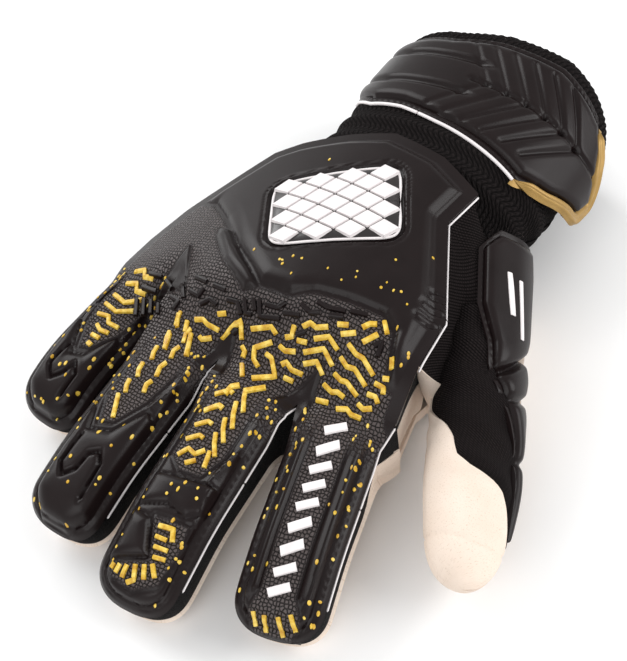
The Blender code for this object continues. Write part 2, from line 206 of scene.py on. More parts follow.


# %% [markdown]
# ## The finishes
# Black moulded foam is satin, never quite one colour, and finely grained. Where a mask says so,
# it is covered in small raised grains, like the skin of a basketball, with painted shade in the gaps between them and
# painted highlights on their tops. Latex is matt and chalky.
# The cloths are two: a brushed one between the fingers and a twill by the thumb; the wrist is
# a ribbed knit. Gold is a thick print whose colour is strewn at random from amber, a painted shade, through its own
# gold to yellow, a painted highlight.


# %% Foam, gold and white
def foam_recipe(plane):
    pebbled = plane.node("ShaderNodeAttribute", {"attribute_name": "pebbled"}, out=2)
    cells = plane.node(
        "ShaderNodeTexVoronoi",
        {"voronoi_dimensions": "2D", "feature": "DISTANCE_TO_EDGE"},
        {"Vector": plane, "Scale": 0.92, "Randomness": 0.55},
    )
    knob = (cells * 4.5).math("MINIMUM", 1.0)
    cloud, grain = noise(plane, 0.12), noise(plane, 3.0, 3.0)
    plain = cloud.mix((0.0070, 0.0040, 0.0040), (0.0125, 0.0078, 0.0078))
    # Painted light on the grains: the near-black gaps between them are painted shade, and their lighter tops are
    # painted highlight.
    grains = knob.mix((0.002, 0.0016, 0.0016), (0.085, 0.070, 0.068))
    rough = 0.27 + cloud * 0.09 + pebbled * 0.05
    return {
        "Base Color": pebbled.mix(plain, grains),
        "Roughness": rough,
        "bump": (pebbled * knob * 0.45 + grain * 0.035, 1.0 * MM),
    }


def gold_recipe(plane):
    cloud = noise(plane, 0.5)
    # The amber stop is painted shade and the yellow stop is painted highlight; the middle gold is the print's own
    # colour. Noise strews them at random.
    shade_amber, gold, highlight_yellow = (0.50, 0.26, 0.012), (0.66, 0.42, 0.035), (0.84, 0.62, 0.13)
    colour = ramp(cloud, (0.3, shade_amber), (0.48, gold), (0.68, highlight_yellow))
    return {"Base Color": colour, "Roughness": 0.3 + cloud * 0.2, "bump": (noise(plane, 2.5), 0.08 * MM)}


def white_recipe(plane):
    cloud = noise(plane, 0.3)
    return {
        "Base Color": cloud.mix((0.72, 0.67, 0.67), (0.86, 0.82, 0.82)),
        "Roughness": 0.28 + cloud * 0.15,
        "bump": (noise(plane, 1.6), 0.06 * MM),
    }


def gold_edge_recipe(plane):
    cloud = noise(plane, 0.25)
    return {
        "Base Color": cloud.mix((0.27, 0.155, 0.035), (0.42, 0.26, 0.075)),
        "Roughness": 0.32 + cloud * 0.15,
        "bump": (noise(plane, 2.0), 0.06 * MM),
    }


FOAM = finish("black_moulded_foam", foam_recipe, {"Specular IOR Level": 0.19})
GOLD = finish("gold_print", gold_recipe)
WHITE = finish("white_print", white_recipe)
GOLD_EDGE = finish("gold_moulded_rubber", gold_edge_recipe, {"Metallic": 0.35})
print("finishes so far:", FOAM.name, GOLD.name, WHITE.name, GOLD_EDGE.name)


# %% Latex and cloths
def latex_recipe(plane):
    cloud, pores = noise(plane, 0.08), noise(plane, 2.2, 4.0)
    body = cloud.mix((0.74, 0.60, 0.49), (0.84, 0.73, 0.64))
    # The darker colour in the pores is painted shade: it falls where the bump sinks them into pits.
    closed = ramp(pores, (0.3, (0.0, 0.0, 0.0)), (0.42, (1.0, 1.0, 1.0)))
    return {
        "Base Color": closed.mix((0.62, 0.49, 0.39), body),
        "Roughness": 0.72 + pores * 0.15,
        "bump": (pores * 0.6 + cloud * 0.8, 0.22 * MM),
    }


def brushed_recipe(plane):
    fuzz, fibre = noise(plane, 1.6, 4.0), noise(plane, 5.0, 2.0)
    return {
        # The colour follows the nap's height: darker where the nap dips, a painted shade, and lighter where it stands
        # up, a painted highlight.
        "Base Color": fuzz.mix((0.0012, 0.001, 0.001), (0.014, 0.012, 0.012)),
        "Roughness": 0.8 + fibre * 0.2,
        "bump": (fuzz + fibre * 0.5, 0.7 * MM),
    }


def parts(plane):
    """The two directions of the flat map, in millimetres."""
    split = plane.node("ShaderNodeSeparateXYZ", {}, {"Vector": plane})
    return split, Wire(split.socket.node.outputs[1])


def twill_recipe(plane):
    """Diagonal ridges 1.1 mm apart, each broken into short floats like a row of grains."""
    across, along = parts(plane)
    ridge = ((across + along) * (1 / 1.1)).math("FRACT")
    step = ((across + along) * (1 / 1.1)).math("FLOOR")
    floats = ((across - along) * (1 / 1.7) + step * 0.37).math("FRACT")
    height = (ridge * math.pi).math("SINE") * (0.45 + (floats * math.pi).math("SINE") * 0.55)
    # This noise makes the ridges' painted highlight patchy, and it varies the roughness.
    patchy_sheen = noise(plane, 0.9, 3.0)
    return {
        # The colour follows the weave's height: painted shade in its grooves and a painted highlight on its ridges,
        # made patchy by noise.
        "Base Color": (height * (0.5 + patchy_sheen)).mix((0.0015, 0.001, 0.001), (0.020, 0.0155, 0.0155)),
        "Roughness": 0.75 + patchy_sheen * 0.2,
        "bump": (height, 0.35 * MM),
    }


def knit_recipe(plane):
    """Ribs 1.9 mm wide; each is a column of V stitches, 1.5 mm apart, that lean out from its middle."""
    across, along = parts(plane)
    lean = ((across * (1 / 1.9)).math("FRACT") - 0.5).math("ABSOLUTE")
    loops = ((along * (1 / 1.5) + lean * 1.5).math("FRACT") * math.pi).math("SINE")
    height = (1 - lean * lean * 3.4) * (0.5 + loops * 0.5)
    return {
        # The colour follows the stitch height: painted shade between the ribs and loops, and a painted highlight on
        # their tops.
        "Base Color": height.mix((0.0012, 0.001, 0.001), (0.0155, 0.0125, 0.0125)),
        "Roughness": 0.8 + noise(plane, 4.0) * 0.2,
        "bump": (height, 0.6 * MM),
    }


LATEX = finish("cream_latex", latex_recipe, {"Specular IOR Level": 0.3})
BRUSHED = finish("black_brushed_cloth", brushed_recipe, {"Sheen Weight": 0.04, "Specular IOR Level": 0.05})
TWILL = finish("black_twill", twill_recipe, {"Specular IOR Level": 0.07})
KNIT = finish("black_rib_knit", knit_recipe, {"Specular IOR Level": 0.07})
print("and:", LATEX.name, BRUSHED.name, TWILL.name, KNIT.name)


def floor_recipe(plane):
    cloud = noise(plane, 3.0)
    return {"Base Color": cloud.mix((0.9, 0.9, 0.9), (0.93, 0.93, 0.93))}


floor.data.uv_layers.new(name="flat")
floor.data.materials.append(finish("pale_floor", floor_recipe, {"Roughness": 0.9}))

# %% [markdown]
# ## Surfaces from grids
# Every shape here is a grid of points worked out in one go as an array. A grid becomes a wall by
# pushing a copy of it inwards along its normals and closing the rim, which is how sheet foam
# behaves: one thickness all over. The same grid gives the flat map, by adding up distances.


# %% Grids into meshes
def smooth(t):
    t = np.clip(t, 0, 1)
    return t * t * (3 - 2 * t)


def quads(rows, columns, first=0):
    """The four-cornered faces of a grid of points, as rows of point numbers."""
    at = first + np.arange(rows * columns).reshape(rows, columns)
    return np.stack([at[:-1, :-1], at[1:, :-1], at[1:, 1:], at[:-1, 1:]], axis=-1).reshape(-1, 4)


def grid_normals(points):
    """Unit normals of a grid: the cross product of its two directions."""
    normal = np.cross(np.gradient(points, axis=0), np.gradient(points, axis=1))
    return normal / np.maximum(np.linalg.norm(normal, axis=2, keepdims=True), 1e-9)


def laid_flat(points):
    """The flat map of a grid: how far each point is along its column and its row, in millimetres."""
    flat = np.zeros(points.shape[:2] + (2,))
    flat[1:, :, 0] = np.cumsum(np.linalg.norm(np.diff(points, axis=0), axis=2), axis=0)
    flat[:, 1:, 1] = np.cumsum(np.linalg.norm(np.diff(points, axis=1), axis=2), axis=1)
    return flat


class Cloth:
    """A heap of faces on its way to being one piece: points, faces, flat map and pebble mask."""

    def __init__(self):
        self.points, self.faces, self.flat, self.pebbled, self.count = [], [], [], [], 0
        self.area, self.wide, self.long = 0.0, 0.0, 0.0

    def add(self, points, faces, flat, pebbled=0.0):
        points = points.reshape(-1, 3)
        self.points.append(points)
        self.faces.append(faces + self.count)
        self.flat.append(flat.reshape(-1, 2))
        self.pebbled.append(np.broadcast_to(pebbled, len(points)).reshape(-1))
        self.count += len(points)

    def wall(self, points, thick, pebbled=0.0, flat=None, turn=False):
        """A closed wall: the grid, a copy of it pushed in by the thickness, and four rims."""
        if turn:
            points = points[::-1]
            pebbled = pebbled[::-1] if np.ndim(pebbled) else pebbled
            flat = None if flat is None else flat[::-1]
        rows, columns = points.shape[:2]
        inner = points - grid_normals(points) * thick
        flat = laid_flat(points) if flat is None else flat
        outer_faces = quads(rows, columns)
        inner_faces = quads(rows, columns, rows * columns)[:, ::-1]
        at = np.arange(rows * columns).reshape(rows, columns)
        rim = np.concatenate([at[:, 0], at[-1, 1:], at[-2::-1, -1], at[0, -2:0:-1]])
        after, below = np.roll(rim, -1), rows * columns
        rim_faces = np.stack([rim, rim + below, after + below, after], axis=1)
        mask = np.broadcast_to(pebbled, (rows, columns)).reshape(-1)
        self.add(
            np.concatenate([points.reshape(-1, 3), inner.reshape(-1, 3)]),
            np.concatenate([outer_faces, inner_faces, rim_faces]),
            np.concatenate([flat.reshape(-1, 2)] * 2),
            np.concatenate([mask, mask]),
        )
        cells = np.cross(np.diff(points, axis=0)[:, :-1], np.diff(points, axis=1)[:-1])
        self.area += float(np.linalg.norm(cells, axis=2).sum()) * MM * MM
        spans = sorted(float(laid_flat(points)[..., way].max()) * MM for way in (0, 1))
        self.wide, self.long = self.wide + spans[0], max(self.long, spans[1])
        return self

    def make(self, name, material, sharp=50.0):
        """Write the arrays into a mesh, weld the points that meet, and make it a piece."""
        points = np.concatenate(self.points) * MM
        faces = np.concatenate(self.faces)
        flat = np.concatenate(self.flat)
        mesh = bpy.data.meshes.new(name)
        mesh.vertices.add(len(points))
        mesh.vertices.foreach_set("co", points.astype(np.float32).ravel())
        mesh.loops.add(faces.size)
        mesh.loops.foreach_set("vertex_index", faces.astype(np.int32).ravel())
        mesh.polygons.add(len(faces))
        mesh.polygons.foreach_set("loop_start", np.arange(0, faces.size, 4, dtype=np.int32))
        mesh.update(calc_edges=True)
        layer = mesh.uv_layers.new(name="flat")
        layer.data.foreach_set("uv", flat[faces.ravel()].astype(np.float32).ravel())
        mask = mesh.attributes.new("pebbled", "FLOAT", "POINT")
        mask.data.foreach_set("value", np.concatenate(self.pebbled).astype(np.float32))
        bm = bmesh.new()
        bm.from_mesh(mesh)
        bmesh.ops.remove_doubles(bm, verts=bm.verts, dist=2e-6)
        bmesh.ops.dissolve_degenerate(bm, edges=bm.edges, dist=1e-6)
        bmesh.ops.recalc_face_normals(bm, faces=bm.faces)
        bm.to_mesh(mesh)
        bm.free()
        mesh.shade_smooth()
        mesh.set_sharp_from_angle(angle=math.radians(sharp))
        mesh.materials.append(material)
        piece = bpy.data.objects.new(name, mesh)
        scene.collection.objects.link(piece)
        if material in (BRUSHED, TWILL, KNIT):
            CUTS[name] = (piece, (self.wide, self.long), min(self.area, self.wide * self.long))
        print(name, len(mesh.polygons), "faces")
        return piece


CUTS = {}  # every cloth piece, the width and length of its flat cut in metres, and its flat area
FOAM_FILL, LATEX_FILL, STRAP_FILL = 0.7, 0.8, 0.6


def settle(piece, slot, *nodes, on="hand", fill=None):
    """What the frame has to know of a piece: the body it rides on, or a function called on it instead, which
    for the bends only bakes its transform; the nodes it stands for, which are hidden; its slot, which is not used; and
    how full its padding is, which is also not used."""
    if callable(on):
        on(piece)
    else:
        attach(piece, on)
    if nodes:
        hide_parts(*nodes)


# %% [markdown]
# ## Raised print
# The gold marks are thick printed bars. Each is a line of corners with a rounded ridge carried
# along it, dropped onto whatever surface it is printed on, so it bends with the finger below it.


# %% Bars and specks
def resampled(corners, step=0.8):
    """The corners of a line, with more points between them, no further apart than the step."""
    corners = np.asarray(corners, float)
    pieces = [
        np.linspace(a, b, max(2, int(np.ceil(np.linalg.norm(b - a) / step)) + 1))[:-1]
        for a, b in zip(corners[:-1], corners[1:])
    ]
    return np.concatenate([*pieces, corners[-1:]])


def add_bars(cloth, lines, width, height, place, sunk=0.5):
    """Each line gets a ridge: five points across its top, a flat underside, and ends drawn to a slant."""
    across = np.array([-0.5, -0.36, 0.0, 0.36, 0.5, 0.0])
    up = np.array([-sunk, 0.8 * height, height, 0.8 * height, -sunk, -sunk])
    for line in lines:
        path = resampled(line)
        way = np.gradient(path, axis=0)
        way /= np.maximum(np.linalg.norm(way, axis=1, keepdims=True), 1e-9)
        side = np.stack([-way[:, 1], way[:, 0]], axis=1)
        rows = np.concatenate([[0], np.arange(len(path)), [len(path) - 1]])
        shut = np.ones(len(rows))
        shut[[0, -1]] = 0.0
        x = path[rows, 0:1] + side[rows, 0:1] * across * width * shut[:, None]
        y = path[rows, 1:2] + side[rows, 1:2] * across * width * shut[:, None]
        high = np.where(shut[:, None] > 0, up, -sunk)
        x, y, high = (np.concatenate([a, a[:, :1]], axis=1) for a in (x, y, high))
        points = place(x, y, high)
        cloth.add(points, quads(*points.shape[:2])[:, ::-1], np.stack([x, y], axis=-1))
    return cloth


def add_specks(cloth, centres, sizes, place, lift=0.3):
    """Small oval drops of print: a ring at the surface, a smaller one above it, and both ends closed."""
    turn = np.linspace(0, 2 * np.pi, 9)
    share = np.array([0.0, 1.0, 0.72, 0.0])[None, :, None]
    high = np.array([-0.4, -0.4, lift * 0.8, lift])[None, :, None] + 0 * turn
    x = centres[:, 0, None, None] + sizes[:, 0, None, None] * share * np.cos(turn)
    y = centres[:, 1, None, None] + sizes[:, 1, None, None] * share * np.sin(turn)
    points = place(x, y, high + 0 * x)
    for one, flat in zip(points, np.stack([x, y], axis=-1)):
        cloth.add(one, quads(4, 9), flat)
    return cloth


def line_distance(x, y, corners):
    """How far each point is from a line of corners: the least of its distances from the line's pieces."""
    corners = np.asarray(corners, float)
    best = np.full(np.shape(x), 1e9)
    for (ax, ay), (bx, by) in zip(corners[:-1], corners[1:]):
        dx, dy = bx - ax, by - ay
        t = np.clip(((x - ax) * dx + (y - ay) * dy) / (dx * dx + dy * dy), 0, 1)
        best = np.minimum(best, np.hypot(x - ax - t * dx, y - ay - t * dy))
    return best


def inside_distance(x, y, corners):
    """Distance to a closed outline, positive inside it: the sign comes from counting the edges crossed."""
    corners = np.asarray(corners, float)
    closed = np.concatenate([corners, corners[:1]])
    inside = np.zeros(np.shape(x), bool)
    for (ax, ay), (bx, by) in zip(closed[:-1], closed[1:]):
        if ay != by:
            inside ^= ((ay > y) != (by > y)) & (x < (bx - ax) * (y - ay) / (by - ay) + ax)
    return np.where(inside, 1, -1) * line_distance(x, y, closed)


def puff(inside, height, shoulder):
    """A padded shape's height: a quarter circle up from its outline over the shoulder, then level."""
    t = np.clip(inside / shoulder, 0, 1)
    return height * np.sqrt(1 - (1 - t) ** 2)


def groove(distance, depth, half):
    return -depth * np.exp(-((distance / half) ** 2))


# %% [markdown]
# ## The shape of the hand
# The back of the hand is one smooth hill: low and flat where the fingers start, high and round
# over the palm. Its outline is four lines that meet at the crotches between the fingers.


# %% Outline and hill
CROTCHES = [(-59.4, -22.5), (-34.7, -25.9), (-7.6, -42.9), (20.8, -44.7), (48.3, -37.5)]
LEFT_HEM = [(-59.4, -22.5), (-57.5, -12.0), (-52.5, 1.0), (-45.5, 12.0), (-36.5, 27.0)]
RIGHT_HEM = [(48.3, -37.5), (47.2, -25.0), (45.5, -7.0), (29.5, 21.0), (31.0, 35.0)]
REAR_HEM = [(-36.5, 27.0), (-29.0, 32.0), (-14.8, 38.5), (-2.0, 43.0), (16.0, 41.0), (31.0, 35.0)]
HAND_THICK = 2.6


def at_height(line, y):
    line = np.array(sorted(line, key=lambda corner: corner[1]))
    return np.interp(y, line[:, 1], line[:, 0])


def front_line(x):
    line = np.array(CROTCHES)
    return np.interp(x, line[:, 0], line[:, 1])


def hill(x, y):
    """Height of the back of the hand, with a small dip at each crotch, in millimetres."""
    rise = smooth((y + 46) / 26)
    top = 33.5 + 14.5 * rise - (0.0028 + 0.0026 * rise) * (x - 9) ** 2
    for cx, cy in CROTCHES[1:4]:
        top = top - 3.2 * np.exp(-((x - cx) ** 2 + (y - cy) ** 2) / 42.0)
    return top


PAD = [
    (-60.0, -3.0), (-50.0, 4.0), (-41.0, 3.0), (-31.0, -4.0), (-20.0, -13.5), (-9.0, -20.5), (-3.9, -24.0),
    (6.2, -23.4), (12.0, -19.6), (22.0, -17.0), (32.0, -15.5), (37.5, -19.0), (40.0, -25.0), (42.5, -31.0),
    (60.0, -34.0), (60.0, 60.0), (-60.0, 60.0),
]
TONGUE = [
    (-31.0, -8.5), (-26.0, -8.5), (-14.0, -18.5), (-4.0, -25.0), (-8.0, -27.0), (-20.0, -20.0), (-29.0, -12.0),
]
BADGE_CENTRE, BADGE_SIZE, BADGE_LEAN = (-0.5, 8.5), (38.0, 28.0), math.radians(32.0)
SEAT_CORNER = 5.0


def badge_place(x, y):
    """Coordinates along the badge's own sides, from its centre."""
    dx, dy = x - BADGE_CENTRE[0], y - BADGE_CENTRE[1]
    c, s = math.cos(BADGE_LEAN), math.sin(BADGE_LEAN)
    return dx * c + dy * s, dy * c - dx * s


def rounded_box(x, y, size, corner):
    """Distance inside a rectangle with round corners, positive inside."""
    dx, dy = np.abs(x) - (size[0] / 2 - corner), np.abs(y) - (size[1] / 2 - corner)
    outside = np.hypot(np.maximum(dx, 0), np.maximum(dy, 0))
    return corner - outside - np.minimum(np.maximum(dx, dy), 0)


TAB_HALF, TAB_BEFORE, TAB_BEHIND = 5.2, 5.0, 10.5


def tab_mask(x, y):
    """Distance inside the smooth triangle that covers the top of each crotch."""
    best = np.full(np.shape(x), -9.0)
    for crotch, lean in zip(CROTCHES[1:4], (-0.2, 0.1, 0.25)):
        way = np.array([math.sin(lean), math.cos(lean)])
        side = TAB_HALF * np.array([way[1], -way[0]])
        low = crotch - TAB_BEFORE * way
        best = np.maximum(best, inside_distance(x, y, [crotch + TAB_BEHIND * way, low + side, low - side]))
    return best


def hand_relief(x, y):
    """Relief of the back of the hand and where it is pebbled: pad, grooves, badge seat, hem and tabs."""
    pad = inside_distance(x, y, PAD)
    hem = np.minimum(line_distance(x, y, LEFT_HEM), line_distance(x, y, RIGHT_HEM))
    hem = np.minimum(hem, line_distance(x, y, REAR_HEM))
    relief = puff(pad, 2.3, 5.0) * smooth((hem - 2.6) / 4.5)
    relief = relief + groove(hem - 3.0, 0.5, 0.5) + groove(pad + 0.8, 0.7, 0.9) * smooth((hem - 3) / 2)
    relief = relief + groove(np.abs(hem - 4.6), 0.25, 0.35)
    stitch = 0.5 + 0.5 * np.sin((x + y) * 2 * np.pi / 2.4)
    relief = relief + groove(hem - 1.9, 0.3, 0.3) * stitch
    tongue = inside_distance(x, y, TONGUE)
    relief = relief + puff(tongue, 1.6, 2.2)
    tab = tab_mask(x, y)
    relief = np.maximum(relief, puff(tab, 0.7, 0.6))
    bx, by = badge_place(x, y)
    seat = rounded_box(bx, by, BADGE_SIZE, SEAT_CORNER)
    relief = relief + groove(seat + 2.2, 0.5, 0.4) * (0.6 + 0.4 * np.sin((x - y) * 2 * np.pi / 1.8))
    relief = relief - 1.1 * smooth((seat + 1.4) / 0.8)
    for n in range(3):
        slot = line_distance(x, y, [(38.5 + 0.6 * n, -2.5 - 4.4 * n), (43.0 + 0.3 * n, -1.0 - 4.4 * n)])
        relief = relief + groove(slot - 1.1, 0.7, 0.5)
    flat = smooth((-pad - 1.2) / 0.8) * smooth((-tongue - 0.4) / 0.6) * smooth((-tab - 0.4) / 0.4)
    return relief, flat * smooth((hem - 3.4) / 0.8)


def hand_top(x, y):
    relief, pebbled = hand_relief(x, y)
    return np.stack(np.broadcast_arrays(x, y, hill(x, y) + relief), axis=-1), pebbled


# %% The back of the hand
def hand_grid(columns, rows, inset=0.0):
    """A grid over the hand's outline: columns between its two side hems, rows from its front line back."""
    u = np.linspace(0, 1, columns)
    ends = []
    for across in (front_line, lambda x: np.interp(x, *np.array(REAR_HEM).T)):
        x = -50 + 90 * u
        for _ in range(12):
            y = across(x)
            left, right = at_height(LEFT_HEM, y) + inset, at_height(RIGHT_HEM, y) - inset
            x = left + (right - left) * u
        ends.append(y)
    v = np.linspace(0, 1, rows)
    y = ends[0][:, None] + (ends[1] - ends[0])[:, None] * v
    left, right = at_height(LEFT_HEM, y) + inset, at_height(RIGHT_HEM, y) - inset
    return left + (right - left) * u[:, None], y


gx, gy = hand_grid(190, 150)
points, pebbled = hand_top(gx, gy)
flat_xy = np.stack([gx, gy], axis=-1)
hand_back = Cloth().wall(points, HAND_THICK, pebbled, flat=flat_xy).make("hand_back", FOAM)
settle(hand_back, "backhand_foam", "backhand_pad", "knuckle_panel", fill=FOAM_FILL)

gx, gy = hand_grid(60, 50, 1.5)
lining_points = np.stack([gx, gy, hill(gx, gy) - HAND_THICK - 1.2], axis=-1)
settle(Cloth().wall(lining_points, 0.8).make("hand_lining", BRUSHED), "lining", "backhand_lining")

# %% [markdown]
# ## The shape of a finger
# A finger is drawn on its own two coordinates: x across it, and s along it from the knuckle joint.
# Its centre line runs level over the hand, droops to the middle joint and bends down to the tip.
# Near the hand the finger's back melts into the hill, so no seam shows where it starts.


# %% A finger's own coordinates
TIP_POWER = 2.6  # how square a finger's tip is: 2 would be a half circle
ROW_STEP = 0.45


def into_hand(s):
    """0 where the back is all hand and 1 where it is all finger."""
    return smooth((s + 9) / 13)


class Finger:
    """Places on a finger: x across and s along from its knuckle joint, both in millimetres."""

    def __init__(self, name, root, yaw, half, axis_z, droop, spans, ends):
        self.name, self.half, self.ends = name, half, ends
        self.yaw = math.radians(yaw)
        to_knuckle, self.first, second = spans
        self.end = self.first + second
        self.way = np.array([math.sin(self.yaw), -math.cos(self.yaw)])
        self.side = np.array([math.cos(self.yaw), math.sin(self.yaw)])
        self.knuckle = np.array([*(np.array(root) + to_knuckle * self.way), axis_z])
        middle_z = axis_z - self.first * math.sin(math.radians(droop))
        tip_half, lowest = half[1] * 0.9, second - 5.0
        tilt = math.asin(middle_z / math.hypot(lowest, tip_half)) - math.atan2(tip_half, lowest)
        self.run = np.arange(-45, self.end + 4, 0.25)
        droop = math.radians(droop)
        self.pitch = np.interp(self.run, [-4, 4, self.first - 6, self.first + 6], [0, droop, droop, tilt])
        step = 0.25 * np.stack([np.cos(self.pitch), -np.sin(self.pitch)], axis=1)
        path = np.concatenate([[[0, 0]], np.cumsum(step, axis=0)[:-1]])
        self.path = path - [np.interp(0, self.run, path[:, 0]), np.interp(0, self.run, path[:, 1])]
        self.tip_long = 11.0
        self.wide = half[0] + 0.5
        self.start = [np.dot(np.array(e) - self.knuckle[:2], self.side) for e in ends]
        self.begin = [np.dot(np.array(e) - self.knuckle[:2], self.way) for e in ends]

    def spot(self, x, s, up):
        """The point x across, s along and up above the centre line, square to it."""
        along, down = np.interp(s, self.run, self.path[:, 0]), np.interp(s, self.run, self.path[:, 1])
        pitch = np.interp(s, self.run, self.pitch)
        along = along + up * np.sin(pitch)
        height = self.knuckle[2] + down + up * np.cos(pitch)
        plan = self.knuckle[:2] + x[..., None] * self.side + along[..., None] * self.way
        return np.concatenate([plan, height[..., None]], axis=-1)

    def plan(self, x, s):
        plan = self.knuckle[:2] + x[..., None] * self.side + s[..., None] * self.way
        return plan[..., 0], plan[..., 1]

    def reach(self, x, s):
        """How far out a place is: 0 on the centre line, 1 on the outline, which closes round the tip."""
        tip = np.maximum((s - (self.end - self.tip_long)) / self.tip_long, 0)
        return (np.abs(x / self.width(x, s)) ** TIP_POWER + tip**TIP_POWER) ** (1 / TIP_POWER)

    def width(self, x, s):
        """Half width of the outline at s, which widens from the finger's own to reach the two crotches."""
        left = np.interp(s, [self.begin[0], -3], [-self.start[0], self.wide])
        right = np.interp(s, [self.begin[1], -3], [self.start[1], self.wide])
        return np.where(x < 0, left, right)

    def thick(self, s):
        """Half thickness, a little less towards the tip."""
        return self.half[1] * (1 - 0.10 * smooth(s / self.first) - 0.13 * smooth((s - self.end + 14) / 14))

    def joined(self, x, s, own, hand_z):
        """The finger's own point, turning into the hand's height before the knuckle."""
        px, py = self.plan(x, s)
        share = into_hand(s)[..., None]
        hand = np.stack([px, py, hand_z(px, py)], axis=-1)
        return hand * (1 - share) + own * share

    def back(self, x, s, lift=0.0):
        """The finger's back: a low dome that falls to its outline, with its relief and any lift on top."""
        relief, pebbled = self.relief(x, s)
        reach = np.clip(self.reach(x, s), 0, 1.05)
        tip = np.clip((s - self.end + 10) / 10, 0, 1.1)
        up = self.thick(s) * (1 - 0.36 * reach**3.2) - 2.2 * tip**2
        own = self.spot(x, s, up + relief + lift)
        px, py = self.plan(x, s)
        hand_lift, hand_pebbled = hand_relief(px, py)
        share = into_hand(s)
        points = self.joined(x, s, own, lambda a, b: hill(a, b) + hand_lift + lift)
        return points, hand_pebbled * (1 - share) + pebbled * share

    def palm(self, x, s, lift=0.0):
        """The finger's palm side: flat below, with its edges turned up; it never goes below the ground."""
        reach = np.clip(self.reach(x, s), 0, 1.05)
        up = -self.thick(s) * (1 - 0.5 * reach**4) + lift
        own = self.spot(x, s, up)
        own = self.joined(x, s, own, lambda a, b: palm_face(a, b) + lift)
        own[..., 2] = np.maximum(own[..., 2], 0.15)
        return own

    def tongue(self, first_row, columns, step=ROW_STEP, narrower=0.0, shorter=0.0):
        """A grid over the finger from a first row to its tip, in x and s, with the rows closing round the tip."""
        straight = self.end - self.tip_long
        rows = np.arange(first_row, straight, step)
        turn = np.linspace(0, np.pi / 2, 26)
        s = np.concatenate([rows, straight + (self.tip_long - shorter) * np.sin(turn) ** (2 / TIP_POWER)])
        size = np.concatenate([np.ones(len(rows)), np.cos(turn) ** (2 / TIP_POWER)])
        u = np.linspace(-1, 1, columns)
        x = u[:, None] * (self.wide - narrower) * size
        return x, np.broadcast_to(s, x.shape).copy()

    def root(self, last_row, columns, rows, narrower=0.0):
        """A grid from the line between the two crotches to a row across the finger, in x and s."""
        u = np.linspace(0, 1, columns)[:, None]
        x0 = self.start[0] + narrower + (self.start[1] - self.start[0] - 2 * narrower) * u
        s0 = self.begin[0] + (self.begin[1] - self.begin[0]) * (x0 - self.start[0]) / (self.start[1] - self.start[0])
        level = -3.0
        near = np.linspace(0, 1, rows)
        x1 = (self.wide - narrower) * (2 * u - 1)
        x = x0 + (x1 - x0) * near
        s = s0 + (level - s0) * near
        far = np.append(np.arange(level, last_row, ROW_STEP)[1:], last_row)
        x = np.concatenate([x, np.broadcast_to(x1, (columns, len(far)))], axis=1)
        s = np.concatenate([s, np.broadcast_to(far, (columns, len(far)))], axis=1)
        return x, s

    def relief(self, x, s):
        """Hem, stitched groove and the finger's own moulded shapes, and where it is pebbled."""
        rim = (1 - self.reach(x, s)) * self.wide
        shapes = MOULDING[self.name]
        relief = 0.7 * puff(rim - 3.1, 1.0, 1.6)
        stitch = 0.5 + 0.5 * np.sin(s * 2 * np.pi / 2.2)
        relief = relief + groove(rim - 3.0, 0.55, 0.4) + groove(rim - 1.8, 0.3, 0.3) * stitch
        relief = relief - 0.5 * smooth((1.0 - rim) / 1.0)
        pebbled = np.zeros(np.shape(x))
        for outline in shapes["pebbled"]:
            mask = inside_distance(x, s, outline)
            pebbled = np.maximum(pebbled, smooth((mask - 0.1) / 0.6))
            relief = relief + groove(mask + 0.5, 0.5, 0.45) - 0.35 * smooth(mask / 0.8)
        for outline, height, shoulder in shapes["pads"]:
            mask = inside_distance(x, s, outline)
            relief = relief + puff(mask, height, shoulder) + groove(mask + 0.3, 0.35, 0.4)
        for line, half, height in shapes["ridges"]:
            relief = relief + height * np.exp(-((line_distance(x, s, line) / half) ** 2) * 1.6)
        return relief, pebbled


def palm_face(x, y):
    """Height of the palm's outer face: on the ground at the heel, raised under the knuckles, and turned
    up at its edges and at each crotch."""
    face = 9.0 * smooth((-6 - y) / 34) + 0 * x
    for cx, cy in CROTCHES[1:4]:
        face = face + 5.0 * np.exp(-((x - cx) ** 2 + (y - cy) ** 2) / 16.0)
    return face + 4.0 * smooth(1 - (x - at_height(LEFT_HEM, y)) / 7.0)


# %% [markdown]
# ## What is moulded on each finger
# The foam was pressed hot in a mould: pebbled panels, smooth puffy pads, ribs and S-shaped
# channels. Each is an outline or a line in the finger's own x and s.

